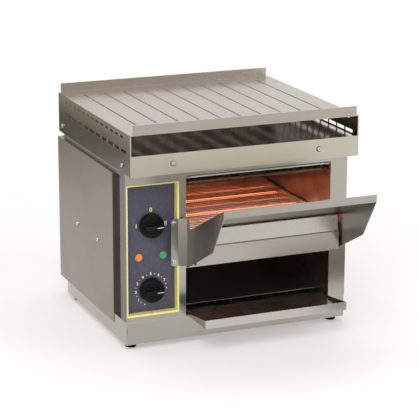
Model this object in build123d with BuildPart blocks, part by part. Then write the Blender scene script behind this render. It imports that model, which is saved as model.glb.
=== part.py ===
from build123d import *
from math import atan2, cos, degrees, pi, radians, sin, tan
import os

# Countertop conveyor toaster, one solid per real piece, in millimetres with +Z up.
# The origin lies on the worktop, under the middle of the whole outline.
# X runs from the controls (-X) to the right-hand side, Y runs from the front to the back.

os.makedirs("parts", exist_ok=True)

# ---------------------------------------------------------------- overall sizes
rack_width = 450.0          # warming rack, over its side walls
rack_depth = 402.0          # warming rack, front band to back wall
feed_reach = 143.0          # feed tray's lip, ahead of the rack
rear_reach = 15.0           # rear cover, behind the rack
foot_height = 11.0

screw_r = 2.0
head_r = 4.0
head_height = 2.6
screw_hold = 4.0            # shank beyond the pieces that it clamps

overall_depth = feed_reach + rack_depth + rear_reach + head_height
front_y = feed_reach - overall_depth / 2
rack_back_y = front_y + rack_depth
rack_mid_y = front_y + rack_depth / 2
back_y = rack_back_y + rear_reach

# ---------------------------------------------------------------- sheet metal and clearances
sheet = 1.0                 # covers, walls and decks
thick_sheet = 1.2           # feed tray
panel_sheet = 1.5           # control panel
rail_sheet = 2.0            # belt rails and motor bracket
seam_gap = 0.3              # between covers that meet edge to edge
slide_gap = 0.3             # between a moving piece and what it runs beside
hole_gap = 0.3              # screw in its hole, radial
run_gap = 0.08              # shaft in its bush, radial
lining_gap = 0.4            # reflector's ends to the chamber walls

# ---------------------------------------------------------------- base
body_inset = 2.0            # side panels, inside the rack's sides
fascia_setback = 36.0       # fascia and base front, behind the rack's front band
pan_back_inset = 26.0       # base back, ahead of the rack's back wall
pan_wall = 42.5
pan_corner = 2.0
foot_r = 11.5
foot_taper = 6.0            # degrees
foot_inset_x = 17.0
foot_inset_y = 24.0
foot_screw_r = 2.5
foot_screw_depth = 7.0
foot_nut_r = 5.0
foot_nut = 3.0
pan_vent = (50.0, 4.0, 14.0, 9)     # length, width, pitch, count

side_x = rack_width / 2 - body_inset
pan_x = side_x - sheet
fascia_y = front_y + fascia_setback
pan_back_y = rack_back_y - pan_back_inset
pan_mid_y = (fascia_y + pan_back_y) / 2
pan_floor = foot_height + sheet
pan_top = foot_height + pan_wall

# ---------------------------------------------------------------- warming rack
band_rise = 325.0           # lower edge of the rack's frame, above the base pan's underside
band_height = 38.0
rack_height = 76.0
upstand = 18.0
upstand_inset = 5.0
front_post = 2.0            # side wall's lip left standing beside the open front
deck_slot = (294.0, 2.6)    # length, width
deck_slot_count = 10
deck_slot_margin = 40.5     # first slot, inside the rack's side
deck_slot_setback = 225.0                   # middle of the slots, behind the front band
tab_slot_length = 12.0
tab_slot_pitch = 280.0
tab_slot_inset = 14.0
upper_row = (20.0, 4.0, 26.0, 13, 202.0, 10.0)    # length, height, pitch, count, setback, drop
lower_row = (29.0, 6.0, 34.0, 10, 190.0, 35.0)    # setback to the row's middle, drop below the deck
deck_drop = 2.0             # lower deck, under the front band's top edge
deck_flange = 32.0
band_screw_x = 144.0
band_screw_rise = 19.5      # above the frame's lower edge
rack_screw_rise = 15.0
rack_screw_insets = (40.0, 25.0)            # from the rack's front and back

deck_slot_pitch = (rack_width - 2 * deck_slot_margin) / (deck_slot_count - 1)
band_bottom = foot_height + band_rise
band_top = band_bottom + band_height
rack_top = band_bottom + rack_height
lower_deck_top = band_top - deck_drop
band_screw_z = band_bottom + band_screw_rise
rack_screw_z = band_bottom + rack_screw_rise
rack_screw_ys = (front_y + rack_screw_insets[0], rack_back_y - rack_screw_insets[1])

# ---------------------------------------------------------------- side panels, rear cover and roof
panel_setback = 65.0        # side panels' front edge, behind the fascia
panel_overlap = 18.5        # side panels' lower edge, below the base's top edge
panel_head_gap = 14.0       # side panels' upper edge, below the rack's frame
recess_depth = 18.0         # channel between side panel and fascia, sideways
recess_leg = 49.0           # inner wall of that channel, front to back
rear_flange = 9.0
cover_leg = 18.0
stay_size = 12.0            # angle uprights behind the side panels
stay_tab = 24.0             # upright's tab behind the roof's skirt
stay_insets = (83.0, 201.0)                 # behind the side panels' front edge
side_screw_rise = 119.5     # above the base's top edge
rear_screw_rises = (60.0, 220.0)
vent = (46.0, 5.0, 62.0, 14.0, 4, 5)        # length, height, pitches, columns, rows
vent_rise = 175.0
roof_inset = 6.0            # roof's skirt, inside the base's sides

panel_y = fascia_y + panel_setback
panel_bottom = pan_top - panel_overlap
panel_top = band_bottom - panel_head_gap
recess_x = side_x - recess_depth
flange_back_y = back_y - sheet
stay_ys = [panel_y + inset for inset in stay_insets]
side_screw_z = pan_top + side_screw_rise
rear_screw_x = side_x - rear_flange / 2
roof_top = lower_deck_top - sheet
roof_x = pan_x - roof_inset
roof_front_y = fascia_y + sheet
roof_back_y = back_y - cover_leg

# ---------------------------------------------------------------- fascia and controls
fascia_return = 28.0
control_strip = 3.0         # fascia left of the control window
control_width = 98.0
control_rise = 12.5         # window, above the base's top edge
control_drop = 25.5         # window, below the rack's frame
divider = 16.0              # fascia between control window and mouth
right_post = 34.5
mouth_drop = 16.0           # mouth's top, below the rack's frame
outlet_height = 92.5
crossbar = 26.0
bezel_depth = 14.0
bezel_lap = 5.0             # control panel behind the fascia's edges
knob_shift = 2.0            # knobs' axes, right of the window's middle
selector_drop = 79.5        # selector knob, below the window's top
speed_rise = 42.0           # speed knob, above the window's bottom
lamp_rise = 63.7            # lamps, above the speed knob
lamp_offset = 24.0
lamp_r = 5.8
lamp_rim = 1.4
lamp_rim_height = 1.2
lamp_length = 20.0
lens_rim = 0.6
lens_height = 3.0
lens_chamfer = 1.2

control_left = -pan_x + control_strip
control_right = control_left + control_width
control_bottom = pan_top + control_rise
control_top = band_bottom - control_drop
control_mid = ((control_left + control_right) / 2, (control_bottom + control_top) / 2)
control_height = control_top - control_bottom
control_x = control_mid[0] + knob_shift
selector_z = control_top - selector_drop
speed_z = control_bottom + speed_rise
knob_places = {"selector": selector_z, "speed": speed_z}
lamp_points = [(control_x + side * lamp_offset, speed_z + lamp_rise) for side in (-1, 1)]
panel_face = fascia_y + bezel_depth
mouth_left = control_right + divider
mouth_right = pan_x - right_post
mouth_width = mouth_right - mouth_left
mouth_top = band_bottom - mouth_drop
outlet_top = pan_top + outlet_height
mouth_bottom = outlet_top + crossbar
chamber_x = (mouth_left + mouth_right) / 2

knob_r = 20.5
knob_height = 12.0
knob_chamfer = 1.6
grip_height = 12.0
grip_width = 11.0
grip_inset = 1.2
grip_taper = 4.0            # degrees
knob_gap = 1.2
spindle_r = 3.0
spindle_depth = 16.0        # bore in the switch body
spindle_end_gap = 1.0
bushing_r = 5.0
bushing_front = 0.8
switch_size = (42.0, 40.0, 40.0)
regulator_r = 19.0
regulator_depth = 26.0
regulator_tags = (20.0, 18.0, 14.0)

# ---------------------------------------------------------------- heating chamber
wall_recess = 1.0           # chamber walls, outside the mouth's edges
tube_r = 5.5
tube_pitch = 90.0
tube_count = 3
upper_tube_drop = 17.0      # below the mouth's top
lower_tube_rise = 6.0       # above the belt's axis
holder_size = 17.0
holder_length = 12.0
guard_r = 1.6
guard_drop = 4.0
guard_setback = 13.0
upper_reflector_rise = 14.0
lower_reflector_drop = 12.0
reflector_reach = 24.0
reflector_skirt = 13.0

wall_left = mouth_left - wall_recess
wall_right = mouth_right + wall_recess
wall_span = wall_right - wall_left

# ---------------------------------------------------------------- conveyor
belt_rise = 27.0            # belt's axis, above the mouth's bottom edge
front_shaft_setback = 16.0  # behind the rack's front band
drop_gap = 60.0             # between the belt's rear end and the chute's back
shaft_r = 5.0
rod_pitch = 10.0
rod_r = 1.2
belt_teeth = 12
belt_margin = 7.0           # belt's edge to chamber wall
strip_width = 3.0
strip_height = 3.2
tooth_width = 4.6
tooth_tip = 0.6             # tooth's tip, outside the rods' centres
sprocket_width = 6.0
sprocket_inset = 40.0       # outer sprockets, inside the belt's edges
sprocket_count = 3
rail_gap = 1.5              # rail's face to chamber wall
rail_low = 17.0             # rail's edges, below and above the belt's axis
rail_high = 18.0
rail_front = 12.0           # rail, ahead of the front shaft
rail_back = 16.0            # rail, behind the rear shaft
rail_chamfer = 8.0
rail_pad = 10.0
bush_r = 8.0
shaft_end = 2.5             # rear shaft, beyond the right-hand chamber wall
chute_back_gap = 4.0        # chute's back, ahead of the rear cover

# ---------------------------------------------------------------- drive
chain_pitch = 12.7
chain_teeth = 8
chain_spans = 8             # whole pitches between the two sprockets
chain_roller_r = 3.75
chain_tip = 0.85            # tooth's tip, outside the rollers' centres
chain_plate = 1.2
chain_plate_height = 9.0
chain_plate_chamfer = 2.6
chain_inner = 6.0
chain_wall_gap = 16.0       # chain's middle, outside the left-hand chamber wall
sprocket_thickness = 5.0
hub_wall = 4.0
hub_length = 5.0
motor_shaft_r = 4.0
motor_shaft_depth = 20.0
motor_can_r = 29.0
motor_can_length = 34.0
gearbox_size = (38.0, 66.0, 58.0)
gearbox_chamfer = 5.0
bracket_gap = 7.0           # chain's middle to the bracket's face
bracket_width = 76.0
bracket_above = 34.0
bracket_foot = 20.0


def pitch_radius(pitch, teeth):
    """Radius of the circle through the pins of a chain that sits on a sprocket."""
    return pitch / (2 * sin(pi / teeth))


rod_path_r = pitch_radius(rod_pitch, belt_teeth)
belt_out_r = rod_path_r + strip_height / 2
belt_z = mouth_bottom + belt_rise
front_shaft_y = front_y + front_shaft_setback
chute_back_y = back_y - sheet - chute_back_gap
belt_room = chute_back_y - drop_gap - belt_out_r - front_shaft_y
belt_spans = int(belt_room / rod_pitch)
shaft_spacing = belt_spans * rod_pitch
rear_shaft_y = front_shaft_y + shaft_spacing
belt_width = wall_span - 2 * belt_margin
belt_left = chamber_x - belt_width / 2
rail_left = wall_left + rail_gap
rail_right = wall_right - rail_gap
tube_mid_y = (front_shaft_y + rear_shaft_y) / 2
tube_ys = [tube_mid_y + (k - (tube_count - 1) / 2) * tube_pitch for k in range(tube_count)]
upper_tube_z = mouth_top - upper_tube_drop
lower_tube_z = belt_z + lower_tube_rise
chain_r = pitch_radius(chain_pitch, chain_teeth)
chain_x = wall_left - chain_wall_gap
motor_z = belt_z - chain_spans * chain_pitch
gearbox_right = chain_x - bracket_gap - rail_sheet

# ---------------------------------------------------------------- feed tray, shield, chute, collection tray
feed_margin = 2.25          # feed tray's side, outside the mouth's edge
feed_slope = 26.0           # degrees
feed_tip_drop = 20.0        # lip, below the mouth's top
feed_lip = 14.0
feed_floor = 176.0          # along the slope
cheek_corner = (47.0, 73.0)                 # behind and below the lip's lower edge
cheek_drop = 23.0           # cheek's lowest point, below the mouth's bottom edge
cheek_hem = 10.0            # ear's hem along the cheek
edge_gap = 1.0              # cheek's edge, under the floor's upper face
ear_width = 14.0
ear_joggle = (13.0, 11.0)   # sideways and forwards
ear_drop = 19.5             # ear's lower end, below the mouth's bottom edge
ear_height = 89.5
ear_round = 5.0
ear_screw_end = 8.5         # screws, from the ear's ends
ear_screw_side = 5.5        # screws, from the ear's outer edge

feed_tip_z = mouth_top - feed_tip_drop
feed_tip_y = front_y - feed_reach
feed_width = mouth_width + 2 * feed_margin
feed_left = chamber_x - feed_width / 2
feed_right = chamber_x + feed_width / 2
ear_bottom = mouth_bottom - ear_drop
ear_edge = feed_width / 2 + ear_joggle[0] + ear_width
ear_screw_xs = (chamber_x - ear_edge + ear_screw_side, chamber_x + ear_edge - ear_screw_side)
ear_screw_zs = (ear_bottom + ear_screw_end, ear_bottom + ear_height - ear_screw_end)

shield_reach = 8.0          # ahead of the rack's front band
shield_drop = 10.0          # shield's lower edge, below the mouth's bottom edge
shield_height = 33.5
shield_lip = 1.5
shield_wing = (38.0, 24.0)

tray_margin = 3.75          # tray's side to the outlet's edge
tray_front_wall = 16.0
tray_low_wall = 4.0
tray_reach = 84.0           # tray's lip, ahead of the fascia
tray_depth = 245.0
runner_width = 12.0
runner_drop = 10.0
runner_length = 158.0

tray_z = pan_top + slide_gap
tray_front_y = fascia_y - tray_reach
tray_back_y = tray_front_y + tray_depth
tray_width = mouth_width - 2 * tray_margin

chute_slope = 16.0          # degrees
chute_end_rise = 8.0        # chute's end, above the collection tray's underside
chute_end_setback = 39.0    # behind the fascia
chute_bend_r = 60.0


def facing_front(y):
    """Plane at depth y seen from the front: local x is X, local y is Z, normal is -Y."""
    return Plane.XZ.offset(-y)


def facing_right(x):
    """Plane at x seen from the right: local x is Y, local y is Z, normal is +X."""
    return Plane.YZ.offset(x)


def looking_front(x, y, z):
    """Location whose local z points to -Y."""
    return Location((x, y, z), (90, 0, 0))


def looking_back(x, y, z):
    """Location whose local z points to +Y."""
    return Location((x, y, z), (-90, 0, 0))


def looking_aside(side, y, z, x):
    """Location at a distance x from the middle, whose local z points away from it, to -X or +X."""
    return Location((side * x, y, z), (0, side * 90, 0))


def pan_head_screws(places, shank):
    """Pan-head screws as separate solids; each place lies under a head and its local z points out."""
    with BuildPart() as screws:
        with Locations(*places):
            Cylinder(head_r, head_height, align=(Align.CENTER, Align.CENTER, Align.MIN))
            Cylinder(screw_r, shank, align=(Align.CENTER, Align.CENTER, Align.MAX))
    return screws.part


def loop_pins(pitch, teeth, spans):
    """Pins (along, across) of a loop round two equal sprockets that stand at 0 and at spans * pitch along."""
    radius = pitch_radius(pitch, teeth)
    step = 2 * pi / teeth
    pins = [(k * pitch, radius) for k in range(spans)]
    for k in range(teeth // 2):
        pins.append((spans * pitch + radius * sin(k * step), radius * cos(k * step)))
    pins += [((spans - k) * pitch, -radius) for k in range(spans)]
    for k in range(teeth // 2):
        pins.append((-radius * sin(k * step), -radius * cos(k * step)))
    return pins


# ================================================================ base
foot_x = pan_x - foot_inset_x
foot_ys = (fascia_y + foot_inset_y, pan_back_y - foot_inset_y)
foot_points = [(x, y) for x in (-foot_x, foot_x) for y in foot_ys]
gland_rise = 12.5           # cord gland, above the base pan's underside
gland_r = 6.5
gland_nut_r = 9.5
gland_nut = 5.0
gland_nose = 6.0
gland_taper = 8.0           # degrees
gland_shift = 18.0          # right of the knobs' axes
cord_r = 4.0
gland_point = (control_x + gland_shift, foot_height + gland_rise)

with BuildPart() as base_pan:
    with BuildSketch(Plane.XY.offset(foot_height)):
        with Locations((0, pan_mid_y)):
            Rectangle(2 * pan_x, pan_back_y - fascia_y)
    extrude(amount=pan_wall)
    fillet(base_pan.edges().filter_by(Axis.Z), pan_corner)
    offset(amount=-sheet, openings=base_pan.faces().sort_by(Axis.Z)[-1])
    for side in (-1, 1):
        with BuildSketch(Plane.XY.offset(pan_top)):
            with Locations((side * (pan_x - recess_depth / 2), (roof_front_y + panel_y) / 2)):
                Rectangle(recess_depth, panel_y - roof_front_y)
        extrude(amount=-sheet)
    with BuildSketch(Plane.XY.offset(foot_height)):
        with Locations(*foot_points):
            Circle(foot_screw_r + hole_gap)
        with Locations((control_x, pan_mid_y)):
            with GridLocations(0, pan_vent[2], 1, pan_vent[3]):
                Rectangle(pan_vent[0], pan_vent[1])
    extrude(amount=sheet, mode=Mode.SUBTRACT)
    with BuildSketch(facing_front(pan_back_y)):
        with Locations(gland_point):
            Circle(gland_r)
    extrude(amount=sheet, mode=Mode.SUBTRACT)
base_pan.part.label = "base_pan"
export_step(base_pan.part, "parts/base_pan.step")

with BuildPart() as rubber_feet:
    with BuildSketch(Plane.XY.offset(foot_height)):
        with Locations(*foot_points):
            Circle(foot_r)
    extrude(amount=-foot_height, taper=foot_taper)
    with BuildSketch(Plane.XY.offset(foot_height)):
        with Locations(*foot_points):
            Circle(foot_screw_r)
    extrude(amount=-foot_screw_depth, mode=Mode.SUBTRACT)
rubber_feet.part.label = "rubber_feet"
export_step(rubber_feet.part, "parts/rubber_feet.step")

with BuildPart() as foot_screws:
    with BuildSketch(Plane.XY.offset(foot_height - foot_screw_depth)):
        with Locations(*foot_points):
            Circle(foot_screw_r)
    extrude(amount=foot_screw_depth + sheet)
    with BuildSketch(Plane.XY.offset(pan_floor)):
        with Locations(*foot_points):
            RegularPolygon(foot_nut_r, 6)
    extrude(amount=foot_nut)
foot_screws.part.label = "foot_screws"
export_step(foot_screws.part, "parts/foot_screws.step")

# Cord gland: an outer nut with a nose, a thread through the wall and a lock nut inside.
with BuildPart() as cord_gland:
    with BuildSketch(facing_front(pan_back_y)):
        with Locations(gland_point):
            RegularPolygon(gland_nut_r, 6)
    extrude(amount=-gland_nut)
    with BuildSketch(facing_front(pan_back_y + gland_nut)):
        with Locations(gland_point):
            Circle(gland_r)
    extrude(amount=-gland_nose, taper=gland_taper)
    with BuildSketch(facing_front(pan_back_y)):
        with Locations(gland_point):
            Circle(gland_r)
    extrude(amount=sheet + gland_nut)
    with BuildSketch(facing_front(pan_back_y - sheet)):
        with Locations(gland_point):
            RegularPolygon(gland_nut_r, 6)
    extrude(amount=gland_nut)
    with BuildSketch(facing_front(pan_back_y)):
        with Locations(gland_point):
            Circle(cord_r)
    extrude(amount=gland_nut + gland_nose + sheet, both=True, mode=Mode.SUBTRACT)
cord_gland.part.label = "cord_gland"
export_step(cord_gland.part, "parts/cord_gland.step")

# ================================================================ side panels and rear cover
roof_inner_x = roof_x - sheet
cap_x = roof_inner_x + seam_gap
with BuildPart() as left_side_panel:
    with BuildSketch(Plane.XY.offset(pan_top + seam_gap)):
        with BuildLine():
            Polyline(
                (-side_x + rear_flange, flange_back_y),
                (-side_x, flange_back_y),
                (-side_x, panel_y),
                (-recess_x, panel_y),
                (-recess_x, panel_y - recess_leg),
            )
            offset(amount=sheet, side=Side.LEFT)
        make_face()
    extrude(amount=panel_top - pan_top - seam_gap)
    with BuildSketch(facing_right(-side_x)):
        with Locations(((panel_y + flange_back_y) / 2, (panel_bottom + pan_top + seam_gap) / 2)):
            Rectangle(flange_back_y - panel_y, pan_top + seam_gap - panel_bottom)
    extrude(amount=sheet)
    with BuildSketch(Plane.XY.offset(panel_top)):
        with Locations((-(side_x + cap_x) / 2, (panel_y + flange_back_y) / 2)):
            Rectangle(side_x - cap_x, flange_back_y - panel_y)
    extrude(amount=-sheet)
    with BuildSketch(facing_right(-side_x)):
        with Locations(*[(y, side_screw_z) for y in stay_ys]):
            Circle(screw_r + hole_gap)
    extrude(amount=sheet, mode=Mode.SUBTRACT)
    with BuildSketch(facing_front(flange_back_y)):
        with Locations(*[(-rear_screw_x, pan_top + rise) for rise in rear_screw_rises]):
            Circle(screw_r)
    extrude(amount=sheet, mode=Mode.SUBTRACT)
left_side_panel.part.label = "left_side_panel"
export_step(left_side_panel.part, "parts/left_side_panel.step")

with BuildPart() as right_side_panel:
    mirror(left_side_panel.part, about=Plane.YZ)
right_side_panel.part.label = "right_side_panel"
export_step(right_side_panel.part, "parts/right_side_panel.step")

# Angle uprights from the base's floor to the roof's skirt; the side panels are screwed to them.
stay_in_x = pan_x - stay_size
stay_top = panel_top - sheet
with BuildPart() as panel_stays:
    for y in stay_ys:
        for side in (-1, 1):
            with BuildSketch(Plane.XY.offset(pan_floor)):
                with Locations((side * (pan_x - 1.5 * sheet), y)):
                    Rectangle(sheet, stay_size)
            extrude(amount=stay_top - pan_floor)
            with BuildSketch(facing_front(y + stay_size / 2)):
                with BuildLine():
                    Polyline(
                        (side * stay_in_x, pan_floor),
                        (side * (pan_x - sheet), pan_floor),
                        (side * (pan_x - sheet), stay_top),
                        (side * roof_inner_x, stay_top),
                        (side * roof_inner_x, stay_top + stay_tab),
                        (side * stay_in_x, stay_top + stay_tab),
                        close=True,
                    )
                make_face()
            extrude(amount=sheet)
    with BuildSketch(facing_right(-side_x)):
        with Locations(*[(y, side_screw_z) for y in stay_ys]):
            Circle(screw_r)
    extrude(amount=2 * side_x, mode=Mode.SUBTRACT)
panel_stays.part.label = "panel_stays"
export_step(panel_stays.part, "parts/panel_stays.step")

side_places = [looking_aside(side, y, side_screw_z, side_x) for side in (-1, 1) for y in stay_ys]
side_screws = pan_head_screws(side_places, 2 * sheet + screw_hold)
side_screws.label = "side_screws"
export_step(side_screws, "parts/side_screws.step")

with BuildPart() as rear_cover:
    with BuildSketch(facing_front(back_y)):
        with Locations((0, (panel_bottom + panel_top) / 2)):
            Rectangle(2 * side_x, panel_top - panel_bottom)
    extrude(amount=sheet)
    with BuildSketch(Plane.XY.offset(panel_top - sheet)):
        with Locations((0, back_y - cover_leg / 2)):
            Rectangle(2 * (side_x - rear_flange - seam_gap), cover_leg)
    extrude(amount=sheet)
    with BuildSketch(Plane.XY.offset(panel_bottom)):
        with Locations((0, (back_y + pan_back_y) / 2)):
            Rectangle(2 * (pan_x - seam_gap), back_y - pan_back_y)
    extrude(amount=sheet)
    with BuildSketch(facing_front(back_y)):
        with Locations((0, pan_top + vent_rise)):
            with GridLocations(vent[2], vent[3], vent[4], vent[5]):
                Rectangle(vent[0], vent[1])
        with Locations(*[(x, pan_top + r) for x in (-rear_screw_x, rear_screw_x) for r in rear_screw_rises]):
            Circle(screw_r + hole_gap)
    extrude(amount=sheet, mode=Mode.SUBTRACT)
rear_cover.part.label = "rear_cover"
export_step(rear_cover.part, "parts/rear_cover.step")

rear_places = []
for x in (-rear_screw_x, rear_screw_x):
    for rise in rear_screw_rises:
        rear_places.append(looking_back(x, back_y, pan_top + rise))
rear_screws = pan_head_screws(rear_places, 2 * sheet + screw_hold)
rear_screws.label = "rear_screws"
export_step(rear_screws, "parts/rear_screws.step")

# ================================================================ fascia and controls
with BuildPart() as front_fascia:
    with BuildSketch(Plane.XY.offset(pan_top)):
        with BuildLine():
            Polyline(
                (-pan_x, fascia_y + fascia_return),
                (-pan_x, fascia_y),
                (pan_x, fascia_y),
                (pan_x, fascia_y + fascia_return),
            )
            offset(amount=sheet, side=Side.LEFT)
        make_face()
    extrude(amount=roof_top - pan_top)
    with BuildSketch(facing_front(fascia_y)):
        with Locations((chamber_x, (mouth_top + mouth_bottom) / 2)):
            Rectangle(mouth_width, mouth_top - mouth_bottom)
        with Locations((chamber_x, (outlet_top + pan_top) / 2)):
            Rectangle(mouth_width, outlet_top - pan_top)
        with Locations(control_mid):
            Rectangle(control_width, control_height)
        with Locations(*[(ear_screw_xs[1], z) for z in ear_screw_zs]):
            Circle(screw_r)
    extrude(amount=-sheet, mode=Mode.SUBTRACT)
    with BuildSketch(facing_right(-pan_x)):
        with Locations((rack_screw_ys[0], rack_screw_z)):
            Circle(screw_r + hole_gap)
    extrude(amount=2 * pan_x, mode=Mode.SUBTRACT)
front_fascia.part.label = "front_fascia"
export_step(front_fascia.part, "parts/front_fascia.step")

with BuildPart() as control_bezel:
    with BuildSketch(facing_front(fascia_y)):
        with Locations(control_mid):
            Rectangle(control_width, control_height)
            Rectangle(control_width - 2 * sheet, control_height - 2 * sheet, mode=Mode.SUBTRACT)
    extrude(amount=-bezel_depth)
control_bezel.part.label = "control_bezel"
export_step(control_bezel.part, "parts/control_bezel.step")

panel_left = -pan_x + sheet + seam_gap
panel_right = control_right + bezel_lap
with BuildPart() as control_panel:
    with BuildSketch(facing_front(panel_face)):
        with Locations(((panel_left + panel_right) / 2, control_mid[1])):
            Rectangle(panel_right - panel_left, control_height + 2 * bezel_lap)
        with Locations(*lamp_points):
            Circle(lamp_r, mode=Mode.SUBTRACT)
        with Locations(*[(control_x, z) for z in knob_places.values()]):
            Circle(bushing_r, mode=Mode.SUBTRACT)
        with Locations(*[(ear_screw_xs[0], z) for z in ear_screw_zs]):
            Circle(screw_r, mode=Mode.SUBTRACT)
    extrude(amount=-panel_sheet)
control_panel.part.label = "control_panel"
export_step(control_panel.part, "parts/control_panel.step")

with BuildPart() as lamp_bodies:
    with BuildSketch(facing_front(panel_face)):
        with Locations(*lamp_points):
            Circle(lamp_r)
    extrude(amount=-lamp_length)
    with BuildSketch(facing_front(panel_face)):
        with Locations(*lamp_points):
            Circle(lamp_r + lamp_rim)
    extrude(amount=lamp_rim_height)
lamp_bodies.part.label = "lamp_bodies"
export_step(lamp_bodies.part, "parts/lamp_bodies.step")

for name, point in zip(("heat_lamp_lens", "ready_lamp_lens"), lamp_points):
    with BuildPart() as lens:
        with BuildSketch(facing_front(panel_face - lamp_rim_height)):
            with Locations(point):
                Circle(lamp_r - lens_rim)
        extrude(amount=lens_height)
        chamfer(lens.edges().group_by(Axis.Y)[0], lens_chamfer)
    lens.part.label = name
    export_step(lens.part, f"parts/{name}.step")

body_back = panel_face + panel_sheet
with BuildPart() as selector_switch:
    with Locations((control_x, body_back + switch_size[1] / 2, selector_z)):
        Box(*switch_size)
    with Locations(looking_front(control_x, body_back, selector_z)):
        Cylinder(bushing_r, panel_sheet + bushing_front, align=(Align.CENTER, Align.CENTER, Align.MIN))
        Cylinder(spindle_r + run_gap, 2 * spindle_depth, mode=Mode.SUBTRACT)
selector_switch.part.label = "selector_switch"
export_step(selector_switch.part, "parts/selector_switch.step")

with BuildPart() as speed_regulator:
    with Locations(looking_back(control_x, body_back, speed_z)):
        Cylinder(regulator_r, regulator_depth, align=(Align.CENTER, Align.CENTER, Align.MIN))
    with Locations((control_x, body_back + regulator_depth / 2, speed_z - regulator_r)):
        Box(*regulator_tags)
    with Locations(looking_front(control_x, body_back, speed_z)):
        Cylinder(bushing_r, panel_sheet + bushing_front, align=(Align.CENTER, Align.CENTER, Align.MIN))
        Cylinder(spindle_r + run_gap, 2 * spindle_depth, mode=Mode.SUBTRACT)
speed_regulator.part.label = "speed_regulator"
export_step(speed_regulator.part, "parts/speed_regulator.step")

knob_back = panel_face - knob_gap
knob_face = knob_back - knob_height
for name, z in knob_places.items():
    with BuildPart() as knob:
        with BuildSketch(facing_front(knob_back)):
            with Locations((control_x, z)):
                Circle(knob_r)
        extrude(amount=knob_height)
        chamfer(knob.edges().group_by(Axis.Y)[0], knob_chamfer)
        with BuildSketch(facing_front(knob_face)):
            with Locations((control_x, z)):
                Rectangle(2 * (knob_r - knob_chamfer - grip_inset), grip_width)
        extrude(amount=grip_height, taper=grip_taper)
        with BuildSketch(facing_front(knob_back)):
            with Locations((control_x, z)):
                Circle(spindle_r)
        extrude(amount=knob_height, mode=Mode.SUBTRACT)
    knob.part.label = f"{name}_knob"
    export_step(knob.part, f"parts/{name}_knob.step")

    with BuildPart() as spindle:
        with BuildSketch(facing_front(knob_face)):
            with Locations((control_x, z)):
                Circle(spindle_r)
        extrude(amount=-(body_back + spindle_depth - spindle_end_gap - knob_face))
    spindle.part.label = f"{name}_spindle"
    export_step(spindle.part, f"parts/{name}_spindle.step")

terminal_size = (50.0, 20.0, 18.0)
terminal_inset = (44.0, 46.0)               # from the base's left side and back
terminal_pole = (6.0, 12.0, 10.0, 5)        # width, length, pitch, count
terminal_point = (-pan_x + terminal_inset[0], pan_back_y - terminal_inset[1])
with BuildPart() as terminal_block:
    with Locations((*terminal_point, pan_floor + terminal_size[2] / 2)):
        Box(*terminal_size)
    with BuildSketch(Plane.XY.offset(pan_floor + terminal_size[2])):
        with Locations(terminal_point):
            with GridLocations(terminal_pole[2], 0, terminal_pole[3], 1):
                Rectangle(terminal_pole[0], terminal_pole[1])
    extrude(amount=-terminal_size[2] / 3, mode=Mode.SUBTRACT)
terminal_block.part.label = "terminal_block"
export_step(terminal_block.part, "parts/terminal_block.step")


# ================================================================ warming rack
def slot_row(row):
    """One row of slots, to be cut through both side walls of the rack's frame."""
    length, height, pitch, count, setback, drop = row
    with BuildSketch(facing_right(-rack_width / 2)) as slots:
        with Locations((front_y + setback, rack_top - drop)):
            with GridLocations(pitch, 0, count, 1):
                Rectangle(length, height)
    return slots.sketch


with BuildPart() as rack_frame:
    with BuildSketch(Plane.XY.offset(band_bottom)):
        with Locations((0, rack_mid_y)):
            Rectangle(rack_width, rack_depth)
            Rectangle(rack_width - 2 * sheet, rack_depth - 2 * sheet, mode=Mode.SUBTRACT)
    extrude(amount=rack_height - sheet)
    with BuildSketch(facing_front(front_y)):
        with Locations((0, (band_top + rack_top) / 2)):
            Rectangle(rack_width - 2 * front_post, rack_top - band_top)
        with Locations(*[(x, band_screw_z) for x in (-band_screw_x, band_screw_x)]):
            Circle(screw_r + hole_gap)
    extrude(amount=-sheet, mode=Mode.SUBTRACT)
    extrude(slot_row(upper_row), amount=rack_width, mode=Mode.SUBTRACT)
    extrude(slot_row(lower_row), amount=rack_width, mode=Mode.SUBTRACT)
    with BuildSketch(facing_right(-rack_width / 2)):
        with Locations(*[(y, rack_screw_z) for y in rack_screw_ys]):
            Circle(screw_r + hole_gap)
    extrude(amount=rack_width, mode=Mode.SUBTRACT)
rack_frame.part.label = "rack_frame"
export_step(rack_frame.part, "parts/rack_frame.step")

with BuildPart() as rack_deck:
    with BuildSketch(Plane.YZ):
        with BuildLine():
            Polyline(
                (front_y, rack_top + upstand),
                (front_y, rack_top - sheet),
                (rack_back_y, rack_top - sheet),
                (rack_back_y, rack_top + upstand),
            )
            offset(amount=sheet, side=Side.LEFT)
        make_face()
    extrude(amount=rack_width / 2 - upstand_inset, both=True)
    with BuildSketch(Plane.XY.offset(rack_top - sheet)):
        with Locations((0, rack_mid_y)):
            Rectangle(rack_width, rack_depth)
    extrude(amount=sheet)
    with BuildSketch(Plane.XY.offset(rack_top)):
        with Locations((0, front_y + deck_slot_setback)):
            with GridLocations(deck_slot_pitch, 0, deck_slot_count, 1):
                Rectangle(deck_slot[1], deck_slot[0])
        with Locations((0, rack_mid_y)):
            with GridLocations(rack_width - 2 * tab_slot_inset, tab_slot_pitch, 2, 2):
                Rectangle(tab_slot_length, deck_slot[1])
    extrude(amount=-sheet, mode=Mode.SUBTRACT)
rack_deck.part.label = "rack_deck"
export_step(rack_deck.part, "parts/rack_deck.step")

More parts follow.
